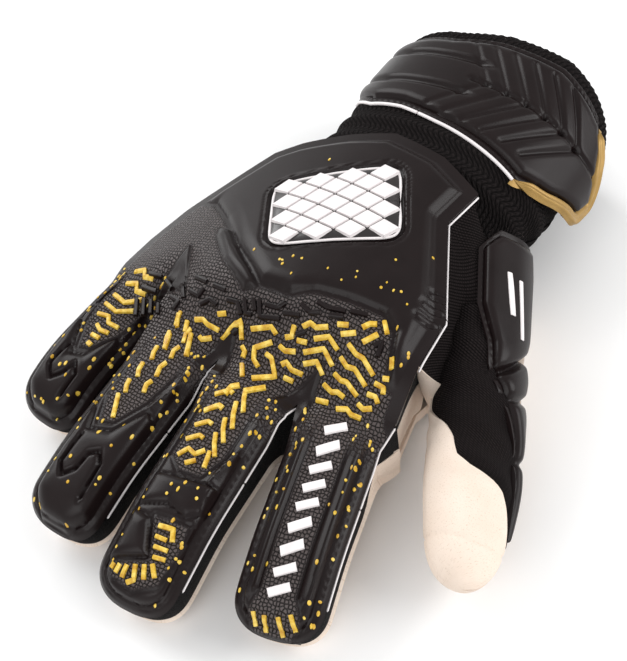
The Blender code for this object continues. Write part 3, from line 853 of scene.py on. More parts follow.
# %% Mouldings
MOULDING = {
    "index": dict(
        pebbled=[[(-5.2, -9), (5.2, -9), (5.0, 40), (7.6, 46), (5.5, 51), (-5.5, 51), (-7.6, 46), (-5.0, 40)]],
        pads=[],
        ridges=[
            ([(-6.3, -6), (-6.4, 40)], 0.9, 0.9), ([(-8.5, -6), (-8.6, 43)], 0.8, 0.7),
            ([(6.4, -6), (6.6, 40)], 0.9, 0.9), ([(8.6, -6), (8.8, 30), (8.2, 43)], 0.8, 0.8),
        ],
    ),
    "middle": dict(
        pebbled=[
            [(-8.3, -12), (5.0, -12), (6.4, 1), (6.2, 13), (3.5, 20), (-3.5, 21), (-8.3, 17)],
            [(-2.5, 33.0), (7.8, 32.0), (8.6, 40), (7.6, 49), (1, 53), (-6.5, 52), (-8.8, 49), (1.8, 44)],
        ],
        pads=[
            ([(-9, 23.6), (9, 21.2), (9.2, 28), (5.5, 30.4), (-1, 29.2), (-9, 32)], 1.3, 2.6),
            ([(-9.2, 33.5), (-3.6, 34.0), (1.2, 43), (-9.2, 47.6)], 1.5, 3.0),
        ],
        ridges=[
            ([(8.6, -8), (8.9, 8), (6.4, 20.5)], 1.0, 1.0), ([(7.6, 20), (8.8, 30), (9.0, 42)], 0.6, 0.5),
        ],
    ),
    "ring": dict(
        pebbled=[[(-7.0, -22), (5.5, -12), (6.6, 0), (4.6, 11), (0, 20.5), (-4, 22), (-7.6, 14), (-8.2, 0)]],
        pads=[
            ([(-9.4, 17), (-5.5, 25), (1.5, 23), (7.0, 13), (9.3, 15), (9.3, 44), (5, 51), (-5, 51), (-9.3, 44)],
             1.7, 4.0),
        ],
        ridges=[
            ([(8.8, -8), (8.9, 2), (6.6, 12)], 0.9, 0.8), ([(-9.0, -16), (-9.0, 8)], 0.8, 0.5),
            ([(-5.5, 27), (-6.0, 35), (-3.4, 38.2), (-0.6, 35), (0.2, 30), (2.8, 28.4), (5.0, 31), (5.4, 41)],
             0.75, -1.5),
        ],
    ),
    "little": dict(
        pebbled=[[(-6.4, -9), (8.0, -9), (7.6, 4), (6.4, 12), (2.5, 19), (-1, 20), (-4.5, 14), (-7.0, 4)]],
        pads=[
            ([(-8.6, 12), (-5.4, 17), (-1.5, 22.5), (3.0, 21), (7.2, 12), (8.4, 16), (8.4, 34), (4, 40), (-4, 40),
              (-8.4, 34)], 1.6, 3.6),
            ([(-9.4, -12), (-7.6, -10), (-7.8, 6), (-9.0, 10)], 1.0, 1.0),
        ],
        ridges=[([(-3.8, 21), (-4.6, 27), (-1.5, 30), (1.2, 27), (2.6, 24), (4.8, 26), (4.6, 33)], 0.7, -1.4)],
    ),
}

FINGERS = [
    Finger("index", (33.5, -41.0), 13.8, (12.0, 10.8), 20.0, 8.0, (10, 26, 25.5), (CROTCHES[3], CROTCHES[4])),
    Finger("middle", (6.5, -44.0), 2.8, (12.0, 11.0), 21.5, 8.0, (12, 29, 29), (CROTCHES[2], CROTCHES[3])),
    Finger("ring", (-21.0, -37.0), -2.0, (12.0, 10.6), 19.0, 7.0, (15, 27, 25.5), (CROTCHES[1], CROTCHES[2])),
    Finger("little", (-46.5, -22.0), -6.0, (11.0, 9.6), 15.5, 4.0, (12, 22, 20.5), (CROTCHES[0], CROTCHES[1])),
]


def finger_bend(finger, part):
    """Fabric over a finger's joint: the root lies between the hand and the finger's first length, and the
    end between its two lengths. The piece only has its transform baked in place; the rows, ends and bodies worked out
    here are not used."""
    reach = finger.first / 2 - 0.5
    root = part == "root"
    rows = np.array([-9.0, 9.5]) if root else finger.first + np.array([-reach, reach])
    start, end = finger.spot(np.zeros(2), rows, np.zeros(2))
    bodies = ("hand" if root else finger.name + "_proximal", finger.name + ("_proximal" if root else "_distal"))
    return lambda piece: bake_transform(piece)


LENGTH = {"root": "proximal", "end": "distal"}  # the body's name for each part of a finger


# %% Finger backs
BACK_THICK = 2.4
for finger in FINGERS:
    middle_row = finger.first / 2
    for part, (x, s) in (("root", finger.root(middle_row, 58, 26)), ("end", finger.tongue(middle_row, 58))):
        points, pebbled = finger.back(x, s)
        cloth = Cloth().wall(points, BACK_THICK, pebbled, flat=np.stack([x + 80, s], axis=-1), turn=True)
        piece, node = cloth.make(f"{finger.name}_back_{part}", FOAM), f"{finger.name}_back_{LENGTH[part]}"
        settle(piece, "backhand_foam", node, on=finger_bend(finger, part), fill=FOAM_FILL)

# %% [markdown]
# ## Gussets and latex
# Between the back and the palm runs a strip of brushed cloth, down one side of the finger, round
# the tip and back up the other. At a crotch the strips of two fingers start from one upright line.
# Below lies the latex palm, which is thick and shows its cut edge all round.


# %% Gussets and finger palms
def turned_up(finger, s, outer):
    """How far the latex climbs beside the index finger's root, as a share of the wall there."""
    return 0.5 * (1 - smooth((s + 2) / 14)) * (finger.name == "index") * outer


BACK_TOP_GAP, SIDE_INSET = 1.6, 1.7
GUSSET_THICK, FINGER_PALM_THICK = 1.2, 3.2


def gusset_grid(finger, x, s, outward, down=14):
    """A strip along a line of places: from under the back's rim to the palm's edge, bulging a little outwards."""
    top, _ = finger.back(x, s)
    low = finger.palm(x, s, 0.6)
    top = top - [0, 0, BACK_TOP_GAP]
    low = low + (top - low) * turned_up(finger, s, x > 0)[:, None]
    v = np.linspace(0, 1, down)[None, :, None]
    bulge = np.sin(np.pi * v) * 1.1 * outward[:, None, :]
    return top[:, None, :] * (1 - v) + low[:, None, :] * v + bulge


def settle_gusset(cloth, finger, part):
    nodes = [f"{finger.name}_gusset_{side}_{LENGTH[part]}" for side in ("outer", "inner")]
    piece = cloth.make(f"{finger.name}_gusset_{part}", BRUSHED)
    settle(piece, "gusset_fabric", *nodes, on=finger_bend(finger, part))


for finger in FINGERS:
    middle_row = finger.first / 2
    inset = finger.wide - SIDE_INSET
    cloth = Cloth()
    for number, sign in ((0, -1), (1, 1)):
        s = np.concatenate([np.linspace(finger.begin[number], -3, 24), np.arange(-2.5, middle_row + 0.1, 0.5)])
        x = np.interp(s, [finger.begin[number], -3], [finger.start[number], sign * inset])
        outward = np.concatenate([sign * finger.side, [0]]) * smooth((s - finger.begin[number]) / 8)[:, None]
        cloth.wall(gusset_grid(finger, x, s, outward), GUSSET_THICK, turn=sign < 0)
    settle_gusset(cloth, finger, "root")

    straight = finger.end - finger.tip_long
    run = np.arange(middle_row, straight, 0.5)
    turn = np.linspace(0, np.pi, 48)
    round_x = -np.sign(np.cos(turn)) * np.abs(np.cos(turn)) ** (2 / TIP_POWER)
    round_s = straight + (finger.tip_long - SIDE_INSET) * np.sin(turn) ** (2 / TIP_POWER)
    x = np.concatenate([np.full(len(run), -1.0), round_x, np.ones(len(run))])
    s = np.concatenate([run, round_s, run[::-1]])
    facing = np.concatenate([np.zeros(len(run)), np.sin(turn), np.zeros(len(run))])
    outward = x[:, None] * np.array([*finger.side, 0]) + facing[:, None] * np.array([*finger.way, 0])
    strip = gusset_grid(finger, x * inset, s, outward)
    settle_gusset(Cloth().wall(strip, GUSSET_THICK, turn=True), finger, "end")

    grids = {"root": finger.root(middle_row, 40, 18, 0.4), "end": finger.tongue(middle_row, 40, 0.7, 0.4, 0.4)}
    for part, (x, s) in grids.items():
        cloth = Cloth().wall(finger.palm(x, s), FINGER_PALM_THICK)
        piece, node = cloth.make(f"{finger.name}_palm_{part}", LATEX), f"{finger.name}_palm_{LENGTH[part]}"
        settle(piece, "palm_latex", node, on=finger_bend(finger, part), fill=LATEX_FILL)

# %% [markdown]
# ## Palm and side walls
# The palm is one latex sheet on the ground at the heel, lifted under the knuckles. The little
# finger's side of the hand is closed by brushed cloth from the back's hem down to the latex.

# %% Palm, heel and side walls
PALM_RIGHT = [(46.5, -50.0), (45.5, -34.0), (40.0, -18.0), (40.0, 8.0), (34.0, 44.0)]


def wall_rows(line, rear, front, count):
    y = np.linspace(rear, front, count)
    return at_height(line, y), y


def between(top, low, steps, bulge):
    """A wall from a top line of points to a low one, bulging by a vector in its middle."""
    v = np.linspace(0, 1, steps)[None, :, None]
    return top[:, None] * (1 - v) + low[:, None] * v + np.sin(np.pi * v) * np.asarray(bulge, float)[:, None]


def points_of(x, y, z):
    return np.stack(np.broadcast_arrays(x, y, z), axis=-1).astype(float)


u = np.linspace(0, 1, 90)[:, None]
v = np.linspace(0, 1, 70)
left_line = LEFT_HEM + [(-28.0, 44.0)]
x = -52 + 92 * u
for _ in range(12):
    y_front = front_line(x)
    left, right = at_height(left_line, y_front) + 2.2, at_height(PALM_RIGHT, y_front)
    x = left + (right - left) * u
y = y_front + (44 - y_front) * v
left, right = at_height(left_line, y) + 2.2, at_height(PALM_RIGHT, y)
x = left + (right - left) * u
palm_points = points_of(x, y, np.maximum(palm_face(x, y), 0.15))
palm = Cloth().wall(palm_points, 3.4, turn=True).make("palm_latex_panel", LATEX)
settle(palm, "palm_latex", "palm_panel", fill=LATEX_FILL)

x, y = wall_rows(left_line, 44.0, -22.5, 100)
top = points_of(x + 1.7, y, hill(x + 1.7, y) - 2.4 - 4.0 * smooth((y - 22) / 20))
low = points_of(x + 2.6, y, palm_face(x + 2.6, y) + 1.0)
left_wall = between(top, low, 24, points_of(-2.6 + 0 * y, 0, 0) * smooth((y + 22.5) / 8)[:, None])
wall = Cloth().wall(left_wall, GUSSET_THICK, turn=True).make("little_side_wall", BRUSHED)
settle(wall, "gusset_fabric", "little_side_gusset")

x, y = wall_rows(RIGHT_HEM, -37.5, -14.0, 50)
top = points_of(x - 1.7, y, hill(x - 1.7, y) - 1.8)
low = points_of(at_height(PALM_RIGHT, y) - 1.5, y, palm_face(x, y) + 1.5)
low = low + (top - low) * 0.5
right_wall = between(top, low, 24, points_of(0.6 + 0 * y, 0, 0) * smooth((y + 37.5) / 8)[:, None])
wall = Cloth().wall(right_wall, GUSSET_THICK, turn=True).make("index_side_wall", BRUSHED)
settle(wall, "gusset_fabric", "index_side_gusset")


def evened(line, count):
    """A line of points, taken again at so many even shares of its count."""
    old, new = np.linspace(0, 1, len(line)), np.linspace(0, 1, count)
    return np.stack([np.interp(new, old, line[:, k]) for k in range(3)], axis=1)


# The latex turns up beside the index finger's root: one strip, under the side wall and the gusset.
STRIP_LONG = 120
index = FINGERS[0]
s = np.linspace(index.begin[1], 11.5, 60)
x = np.interp(s, [index.begin[1], -3], [index.start[1], index.wide - SIDE_INSET])
beside = gusset_grid(index, x, s, np.zeros((60, 3)))[:, -1]
upper = np.concatenate([low[::-1], beside])
under = index.palm(x - 1.0, s, 0.6)
palm_edge = points_of(at_height(PALM_RIGHT, y) - 1.2, y, palm_face(44 + 0 * y, y) + 0.8)[::-1]
upper, lower = evened(upper, STRIP_LONG), evened(np.concatenate([palm_edge, under]), STRIP_LONG)
bulge = np.tile([0.8, -0.4, 0.0], (STRIP_LONG, 1)) * smooth(np.linspace(8, 0, STRIP_LONG))[:, None]
turned = between(upper + [0.3, 0, 0.4], lower, 16, bulge)
strip = Cloth().wall(turned, 1.8).make("index_side_latex", LATEX)
settle(strip, "palm_latex", on=finger_bend(index, "root"), fill=LATEX_FILL)

# %% [markdown]
# ## The thumb
# The thumb leans out and is rolled towards the palm. Its padded back is one foam strip with two
# deep creases, twill covers its side, and the palm's latex wraps round the tip. All of them are
# drawn on the same oval: an angle round the thumb, and s along it.

# %% The thumb's coordinates
THUMB_START = np.array([41.2, 20.3, 27.0])
THUMB_YAW, THUMB_ROLL = math.radians(26.8), math.radians(40.0)
THUMB_WAY = np.array([math.sin(THUMB_YAW), -math.cos(THUMB_YAW)])
THUMB_SIDE = np.array([math.cos(THUMB_YAW), math.sin(THUMB_YAW)])
THUMB_END = 95.0
BASE_S, TIP_S = 30.0, 58.0
THUMB_HALF, THUMB_SQUARE = (12.0, 11.0), 2.3
THUMB_MM = 0.21  # millimetres to a degree round the thumb
THUMB_CUT = 44.0
BEND_REACH = 11.0


def oval(angle, half, power):
    """A point of a superellipse at an angle in degrees."""
    turn = np.radians(angle)
    c, s = np.cos(turn), np.sin(turn)
    return half[0] * np.sign(c) * np.abs(c) ** (2 / power), half[1] * np.sign(s) * np.abs(s) ** (2 / power)


def thumb_pitch(s):
    return np.interp(s, [50, 66], [math.radians(9.0), math.radians(3.5)])


def thumb_spot(angle, s, lift=0.0, dome=18.0):
    """The point of the thumb's oval at an angle and s along, lifted outwards; its last stretch is a dome."""
    angle, s, lift = np.broadcast_arrays(*(np.asarray(a, float) for a in (angle, s, lift)))
    close = np.clip((s - (THUMB_END - dome)) / dome, 0, 1)
    size = np.maximum(1 - close**2.2, 0) ** (1 / 2.2) * (1 - 0.12 * smooth((s - 62) / 22))
    x, z = oval(angle, THUMB_HALF, THUMB_SQUARE)
    out = np.hypot(x, z)
    x, z = x * size * (1 + lift / out), z * size * (1 + lift / out)
    c, sn = math.cos(THUMB_ROLL), math.sin(THUMB_ROLL)
    x, z = x * c + z * sn, -x * sn + z * c
    pitch = thumb_pitch(s)
    drop = np.interp(s, THUMB_RUN, THUMB_DROP)
    along = s + z * np.sin(pitch)
    plan = THUMB_START[:2] + x[..., None] * THUMB_SIDE + along[..., None] * THUMB_WAY
    height = np.maximum(THUMB_START[2] - drop + z * np.cos(pitch), 0.15)
    return np.concatenate([plan, height[..., None]], axis=-1)


THUMB_RUN = np.arange(-20, 100, 0.5)
THUMB_DROP = np.cumsum(0.5 * np.sin(thumb_pitch(THUMB_RUN)))
THUMB_DROP = THUMB_DROP - np.interp(0, THUMB_RUN, THUMB_DROP)


def thumb_bend(part):
    """Fabric over the thumb's base crease, or over its tip crease."""
    middle, bodies = (BASE_S, ("hand", "thumb_middle")) if part == "base" else (TIP_S, ("thumb_middle", "thumb_tip"))
    start, end = (
        THUMB_START + np.array([*(THUMB_WAY * s), -np.interp(s, THUMB_RUN, THUMB_DROP)])
        for s in (middle - BEND_REACH, middle + BEND_REACH)
    )
    return lambda piece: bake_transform(piece)


# %% The thumb's padded back
PAD_FIRST, PAD_LAST = -11.0, 81.0


def pad_high(s):
    """Angle of the padded back's inner edge: it slides outwards, so that only a strip reaches the tip."""
    rows = [-11, -4, 14, 25, 32, 36.5, 43, 52, 62, 72, 81]
    return np.interp(s, rows, [104, 134, 130, 112, 108, 99, 83, 64, 50, 41, 33])


def pad_low(s):
    return np.interp(s, [-11, 0, 30, 50, 70, 81], [44, 30, 26, 8, 0, 14])


def thumb_pad_relief(angle, s):
    """Hem at the two raw edges, three puffs, and the creases between them."""
    rim = np.minimum(angle - pad_low(s), pad_high(s) - angle) * THUMB_MM
    rim = np.minimum(rim, s - PAD_FIRST)
    rim = np.minimum(rim, PAD_LAST - s)
    relief = puff(rim - 2.0, 1.7, 2.6) + groove(rim - 1.8, 0.5, 0.4)
    relief = relief + groove(rim - 1.0, 0.25, 0.25) * (0.5 + 0.5 * np.sin(s * 2 * np.pi / 2.2))
    for at, lean, deep in ((29.5, 0.17, 2.4), (40.0, 0.08, 1.6), (TIP_S, 0.05, 1.0)):
        crease = s - at - (angle - 70) * lean
        relief = relief + groove(crease, deep, 1.3) + groove(crease, 0.4 * deep, 3.6)
    return relief + 0.5


def thumb_pad_grid(first, last):
    s = np.concatenate([np.arange(first, last, ROW_STEP), [last]])
    u = np.linspace(0, 1, 70)[:, None]
    angle = pad_low(s) + (pad_high(s) - pad_low(s)) * u
    return angle, np.broadcast_to(s, angle.shape)


for part, first, last, nodes in (
    ("base", PAD_FIRST, THUMB_CUT, ["thumb_pad_base", "thumb_pad_middle"]),
    ("tip", THUMB_CUT, PAD_LAST, ["thumb_pad_tip"]),
):
    angle, s = thumb_pad_grid(first, last)
    points = thumb_spot(angle, s, thumb_pad_relief(angle, s))
    cloth = Cloth().wall(points, 2.6, flat=np.stack([angle * THUMB_MM + 160, s], axis=-1))
    piece = cloth.make(f"thumb_pad_{part}_foam", FOAM)
    settle(piece, "backhand_foam", *nodes, on=thumb_bend(part), fill=FOAM_FILL)


# %% Latex wrap, twill side and web
def latex_start(s):
    """Angle where the latex begins: below the twill at the base, and right over the top at the tip."""
    rows = [20, 34, 43, 50.5, 55, 61, 64.5, 67, 69, 73, 80, 84]
    return np.interp(s, rows, [236, 226, 206, 166, 152, 143, 122, 92, 78, 64, 44, 24])


TIP_FROM = THUMB_END - 14
tip_rows = TIP_FROM + 14 * np.sin(np.linspace(0, np.pi / 2, 30))
for part, first, last in (("base", 18.0, THUMB_CUT), ("tip", THUMB_CUT, THUMB_END)):
    s = np.arange(first, min(last, TIP_FROM), 0.7)
    s = np.append(s, last if last < THUMB_END else tip_rows)
    u = np.linspace(0, 1, 100)[:, None]
    last_angle = 368 + pad_low(s) * smooth((80 - s) / 4)
    angle = latex_start(s) + (last_angle - latex_start(s)) * u
    run = np.broadcast_to(s, angle.shape)
    seam = groove(run - 83 - 2.5 * np.sin(np.radians(angle)), 0.6, 0.5)
    seam = seam + groove((angle - 205) * 0.2, 0.5, 0.5) * smooth((run - 62) / 3)
    seam = seam + 0.5 * np.sin(run * 0.9 + angle * 0.03) * smooth((60 - run) / 10) * 0.3
    piece = Cloth().wall(thumb_spot(angle, run, 0.35 + seam), 2.4).make("thumb_latex_" + part, LATEX)
    node = "thumb_wrap_middle" if part == "base" else "thumb_wrap_tip"
    settle(piece, "palm_latex", node, on=thumb_bend(part), fill=LATEX_FILL)

for part, first, last in (("base", 14.0, THUMB_CUT), ("tip", THUMB_CUT, 79.0)):
    s = np.linspace(first, last, 60)
    u = np.linspace(0, 1, 60)[:, None]
    high = np.minimum(latex_start(s) + 5, 236)
    low = pad_high(s) - 9
    angle = low + (high - low) * u
    run = np.broadcast_to(s, angle.shape)
    points = thumb_spot(angle, run, -0.5 + 0.35 * np.sin(run * 0.55 + angle * 0.05))
    piece = Cloth().wall(points, 1.2).make("thumb_twill_" + part, TWILL)
    settle(piece, "thumb_mesh", *(["thumb_mesh_middle"] if part == "base" else []), on=thumb_bend(part))

v = np.linspace(0, 1, 70)[:, None]
u = np.linspace(0, 1, 60)
hem_y, thumb_s = 34 - 56 * v, -9 + 50 * v
hem_x = at_height(RIGHT_HEM, hem_y) - 1.4
hem_side = points_of(hem_x, hem_y, hill(hem_x, hem_y) - 1.6)
thumb_side = thumb_spot(np.interp(thumb_s, [-9, 30], [128, 116]), thumb_s, -0.8)
web = hem_side * (1 - u[None, :, None]) + thumb_side * u[None, :, None]
sag = (1.0 + 12.0 * smooth((v - 0.35) / 0.65)) * np.sin(np.pi * u) ** 0.8
web[..., 2] -= sag
web[..., 1] += 5.0 * np.sin(np.pi * u) * smooth((v - 0.7) / 0.3)
web[..., 2] += 0.5 * np.sin(web[..., 0] * 0.5 + web[..., 1] * 0.35) * np.sin(np.pi * u)
settle(Cloth().wall(web, 1.4).make("thumb_web_twill", TWILL), "thumb_mesh", "thumb_web_mesh")

# The latex turns up over the crotch: from the web's front edge forwards, down and back under to the palm.
edge = web[-1]
under = points_of(40 + 16 * u, -9 + 2 * u, 2.0 + 5 * u**2)
v = np.linspace(0, 1, 40)[:, None, None]
lip = edge[None] * (1 - v) + under[None] * v
bulge = np.array([0.0, -5.5, 0.0]) * (0.3 + np.sin(np.pi * u))[None, :, None]
lip = lip + np.sin(np.pi * v) * bulge + [0, -0.4, 0.2]
lip[..., 2] = np.maximum(lip[..., 2], 0.2)
settle(Cloth().wall(lip, 2.2).make("thumb_crotch_latex", LATEX), "palm_latex", fill=LATEX_FILL)

v = np.linspace(0, 1, 60)[:, None]
u = np.linspace(0, 1, 50)
y = 27 - 39 * v
s_at = (THUMB_START[1] - y) / math.cos(THUMB_YAW)
palm_edge = at_height(PALM_RIGHT, y)
inner = points_of(palm_edge - 0.5 + 0 * s_at, y, palm_face(palm_edge, y))
outer = thumb_spot(16.0 + 0 * s_at, s_at, 0.2)
lobe = np.empty((60, 50, 3))
lobe[..., :2] = inner[..., :2] * (1 - u[None, :, None]) + outer[..., :2] * u[None, :, None]
lobe[..., 2] = inner[..., 2] + (outer[..., 2] - inner[..., 2]) * (1 - np.cos(np.pi * u / 2))
piece = Cloth().wall(lobe, 2.6, turn=True).make("thumb_lobe_latex", LATEX)
settle(piece, "palm_latex", "thumb_palm_lobe", fill=LATEX_FILL)

# %% [markdown]
# ## Wrist and strap
# The knit neck is a tube that grows from the hand's outline into the wrist's oval, so the hand
# goes in easily. The strap goes nearly all the way round it. It opens at two folds, so it is
# made in three lengths: one rides on the cuff, and the other two have their transforms baked in place.

# %% Wrist coordinates
WRIST = np.array([7.0, 43.5, 25.0])
STRAP_HALF, WRIST_SQUARE = (38.5, 24.6), 2.25
TAB_FOLD = 48
TURN = np.arange(-60.0, 361.0, 0.5)
steps = np.diff(oval(TURN, STRAP_HALF, WRIST_SQUARE))
TURN_LONG = np.concatenate([[0], np.cumsum(np.hypot(*steps))])
TURN_LONG = TURN_LONG - np.interp(TAB_FOLD, TURN, TURN_LONG)


def round_long(angle):
    """Distance round the wrist in millimetres, 0 at the tab's fold and growing over the top."""
    return np.interp(angle, TURN, TURN_LONG)


def strap_front(angle):
    turns = [-30, -20, 0, 20, 43, 82, 110, 131, 150, 180, 270, 335]
    return np.interp(angle, turns, [64, 63, 57.5, 52, 48, 52, 54.5, 54.5, 58, 63, 60, 61])


def strap_rear(angle):
    turns = [-30, 0, 20, 60, 90, 110, 150, 180, 270, 335]
    return np.interp(angle, turns, [87, 86, 87.5, 93, 92, 88.5, 88, 90, 91, 88])


def wrist_spot(angle, y, lift=0.0):
    """The point on the strap's oval at an angle, at y along the arm, lifted outwards."""
    angle, y, lift = np.broadcast_arrays(angle, y, lift)
    x, z = oval(angle, STRAP_HALF, WRIST_SQUARE)
    wide, high = STRAP_HALF[0] ** 2, STRAP_HALF[1] ** 2
    out = np.hypot(x / wide, z / high)
    return np.stack([WRIST[0] + x + lift * x / wide / out, y, WRIST[2] + z + lift * z / high / out], axis=-1)


# %% Neck, sleeve and rim
KNIT_THICK = 1.6
angle = np.linspace(-12, 348, 200)[:, None]
y = np.linspace(24, 62, 60)[None, :]
grow = smooth((y - 26) / 26)
half_x, half_z = 31.5 + 4.6 * grow, 20.6 + 1.8 * grow
neck_x, neck_z = oval(angle, (1, 1), WRIST_SQUARE)
folds = 0.45 * np.sin(y * 0.8 + 0.6 * np.sin(angle * 0.06)) * smooth((y - 34) / 8)
neck = points_of(
    -1.0 + 8.0 * grow + neck_x * (half_x + folds), y + 0 * angle, 22.3 + 2.7 * grow + neck_z * (half_z + folds)
)
piece = Cloth().wall(neck, KNIT_THICK, turn=True).make("wrist_neck_knit", KNIT)
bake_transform(piece)
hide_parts("wrist_knit_upper", "wrist_knit_lower")

strap_turn = angle % 360 - 360 * (angle % 360 > 335)
rear = strap_rear(strap_turn)
y = strap_front(strap_turn) + 3.0
y = y + (rear + 4.6 - y) * np.linspace(0, 1, 40)
piece = Cloth().wall(wrist_spot(angle, y, -6.3), KNIT_THICK, turn=True).make("cuff_inner_knit", KNIT)
settle(piece, "wrist_knit", "cuff_sleeve_upper", "cuff_sleeve_lower", "loop_patch", on="cuff")

v = np.linspace(0, 1, 26)
y = rear - 5 + 10.4 * v
roll = -1.9 * v**6 - 0.2 + 0.25 * np.sin(round_long(strap_turn) * 2 * np.pi / 2.6)
piece = Cloth().wall(wrist_spot(angle, y, -1.6 + roll), 3.6, turn=True).make("cuff_rim_knit", KNIT)
settle(piece, "wrist_knit", "cuff_rim", on="cuff")


# %% The strap
def tab_end(v):
    """Angle of the tab's pointed end, with v from 0 at the rear edge to 1 at the front one."""
    return np.interp(v, [0, 0.07, 0.24, 0.44, 0.7, 1], [24, 18, 5, -3, -12, -8])


def flare(angle):
    """How far the tab stands off the round: it runs on straighter than the wrist does."""
    return 5.5 * smooth((30 - angle) / 50) * (angle < 60)


SPINE = 72.0  # where the feathered end's middle groove lies along the arm


def strap_relief(angle, y):
    """Two long bands, a feathered end and a stitched hem round all of it."""
    a = round_long(angle)
    front, rear = strap_front(angle), strap_rear(angle)
    share = (rear - y) / (rear - front)
    tip = (angle - tab_end(share)) * 0.5
    hem = np.minimum(np.minimum(y - front, rear - y), np.where(angle < 60, tip, 99.0))
    relief = puff(hem - 2.6, 1.5, 3.0) + groove(hem - 2.4, 0.6, 0.5) - 0.6 * smooth((0.8 - hem) / 0.8)
    relief = relief + groove(hem - 1.3, 0.3, 0.3) * (0.5 + 0.5 * np.sin((a + y) * 2 * np.pi / 2.4))
    middle = (front + rear) / 2
    long_way = smooth((a - 22) / 8)
    relief = relief + long_way * (groove(y - middle + 6.5, 1.3, 1.1) + groove(y - middle - 7.0, 1.3, 1.1))
    for n in range(6):
        at = -12 + 7.0 * n
        for reach in (-16.5, 15.5):
            rib = line_distance(a, y, [(at, SPINE), (at + 13, SPINE + reach)])
            relief = relief + groove(rib, 1.0 - 0.1 * n, 0.9) * smooth((hem - 2.4) / 1.5)
    return relief + groove(line_distance(a, y, [(-26, SPINE), (28, SPINE)]), 1.0, 0.9)


def strap_piece(name, low, high, thick=4.0, columns=150):
    """A length of strap between two angles; the low end may be the tab's own outline."""
    v = np.linspace(0, 1, 90)
    start = tab_end(v) if low is None else np.full(90, float(low))
    angle = start + (high - start) * np.linspace(0, 1, columns)[:, None]
    y = strap_rear(angle) + (strap_front(angle) - strap_rear(angle)) * v
    points = wrist_spot(angle, y, strap_relief(angle, y) - 1.2 + flare(angle))
    flat = np.stack([round_long(angle), y], axis=-1) + 300
    return Cloth().wall(points, thick, flat=flat).make(name, FOAM)


STRAP_SPLIT, ANCHOR_START = 100.0, 162.0


def strap_bend(*bodies, turns):
    """Fabric over a strap fold, between the lengths on its two sides: the piece only has its transform baked in place.
    """
    start, end = wrist_spot(np.array(turns), 75.0, -2.0)
    return lambda piece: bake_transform(piece)


AT_TAB = strap_bend("strap_top", "strap_tab", turns=(58, 38))
AT_TOP = strap_bend("cuff", "strap_top", turns=(159, 141))
anchor = strap_piece("strap_anchor_foam", ANCHOR_START, 318.0)
settle(anchor, "backhand_foam", "strap_anchor", on="cuff", fill=STRAP_FILL)
top_strap = strap_piece("strap_top_foam", STRAP_SPLIT, ANCHOR_START)
settle(top_strap, "backhand_foam", "strap_top", on=AT_TOP, fill=STRAP_FILL)
tab = strap_piece("strap_tab_foam", None, STRAP_SPLIT, 3.6)
settle(tab, "backhand_foam", "strap_tab", "hook_patch", on=AT_TAB, fill=STRAP_FILL)


# %% Piping and gold edge
def rope(path, radius):
    """A round cord along a path: a ring square to the path at each of its points, with shut ends."""
    way = np.gradient(path, axis=0)
    way /= np.linalg.norm(way, axis=1, keepdims=True)
    side = np.cross(way, [0.0, 0.3, 1.0])
    side /= np.linalg.norm(side, axis=1, keepdims=True)
    up = np.cross(side, way)
    turn = np.linspace(0, 2 * np.pi, 11)[:, None]
    size = np.full(len(path), radius)
    size[[0, -1]] = 0.0
    ring = path[:, None] + (side[:, None] * np.cos(turn) + up[:, None] * np.sin(turn)) * size[:, None, None]
    flat = np.stack(np.broadcast_arrays(np.arange(len(path))[:, None] * 0.5, turn[:, 0] * radius), axis=-1)
    return ring, flat


def cord_piece(path, radius, name):
    ring, flat = rope(path, radius)
    cloth = Cloth()
    cloth.add(ring, quads(*ring.shape[:2]), flat)
    return cloth.make(name, WHITE)


def piping(name, low, high, bend, *nodes):
    angle = np.linspace(low, high, 120)
    path = wrist_spot(angle, strap_front(angle) - 0.35, -1.7)
    settle(cord_piece(path, 0.55, name), "white_piping", *nodes, on=bend)


piping("strap_piping_left", STRAP_SPLIT, ANCHOR_START, AT_TOP, "strap_piping")
piping("strap_piping_right", 44.0, STRAP_SPLIT, AT_TAB)

# The gold edge follows the tab's outline, with its corners rounded: along the front, then round the end.
WRIST_MM, BLUR = 0.55, 14  # millimetres to a degree round the tab, and the reach of the rounding in steps
angle = np.linspace(46, -8, 60)
front_way = np.stack([angle, strap_front(angle)], axis=1)
v = np.linspace(1, 0.05, 60)[1:]
end_turn = tab_end(v)
end_y = strap_rear(end_turn) + (strap_front(end_turn) - strap_rear(end_turn)) * v
corners = np.concatenate([front_way, np.stack([end_turn, end_y], axis=1)])
run = np.concatenate([[0], np.cumsum(np.hypot(*(np.diff(corners, axis=0) * [WRIST_MM, 1]).T))])
t = np.linspace(0, run[-1], 260)
path = [np.interp(t, run, line) for line in corners.T]
blur = np.exp(-((np.arange(-BLUR, BLUR + 1) / 7.0) ** 2))
blur = blur / blur.sum()
path = np.stack([np.convolve(np.pad(line, BLUR, mode="edge"), blur, "valid") for line in path], axis=1)
way = np.gradient(path * [WRIST_MM, 1], axis=0)
way /= np.linalg.norm(way, axis=1, keepdims=True)
out = np.stack([-way[:, 1] / WRIST_MM, way[:, 0]], axis=1)
across = np.linspace(-2.0, 2.1, 14)
wide = (smooth(t / 9) * smooth((run[-1] - t) / 5))[:, None]
spots = path[:, None] + out[:, None] * (across * wide)[..., None]
edge_lift = -1.6 + (1.5 * np.sin(np.pi * (across + 2.0) / 4.1) ** 0.6 + 0.25 * np.sin(np.pi * across)) * wide
rim_points = wrist_spot(spots[..., 0], spots[..., 1], edge_lift + flare(spots[..., 0]))
piece = Cloth().wall(rim_points, 2.2, turn=True).make("strap_gold_rim", GOLD_EDGE)
settle(piece, "gold_rubber", "strap_gold_edge", on="strap_tab")

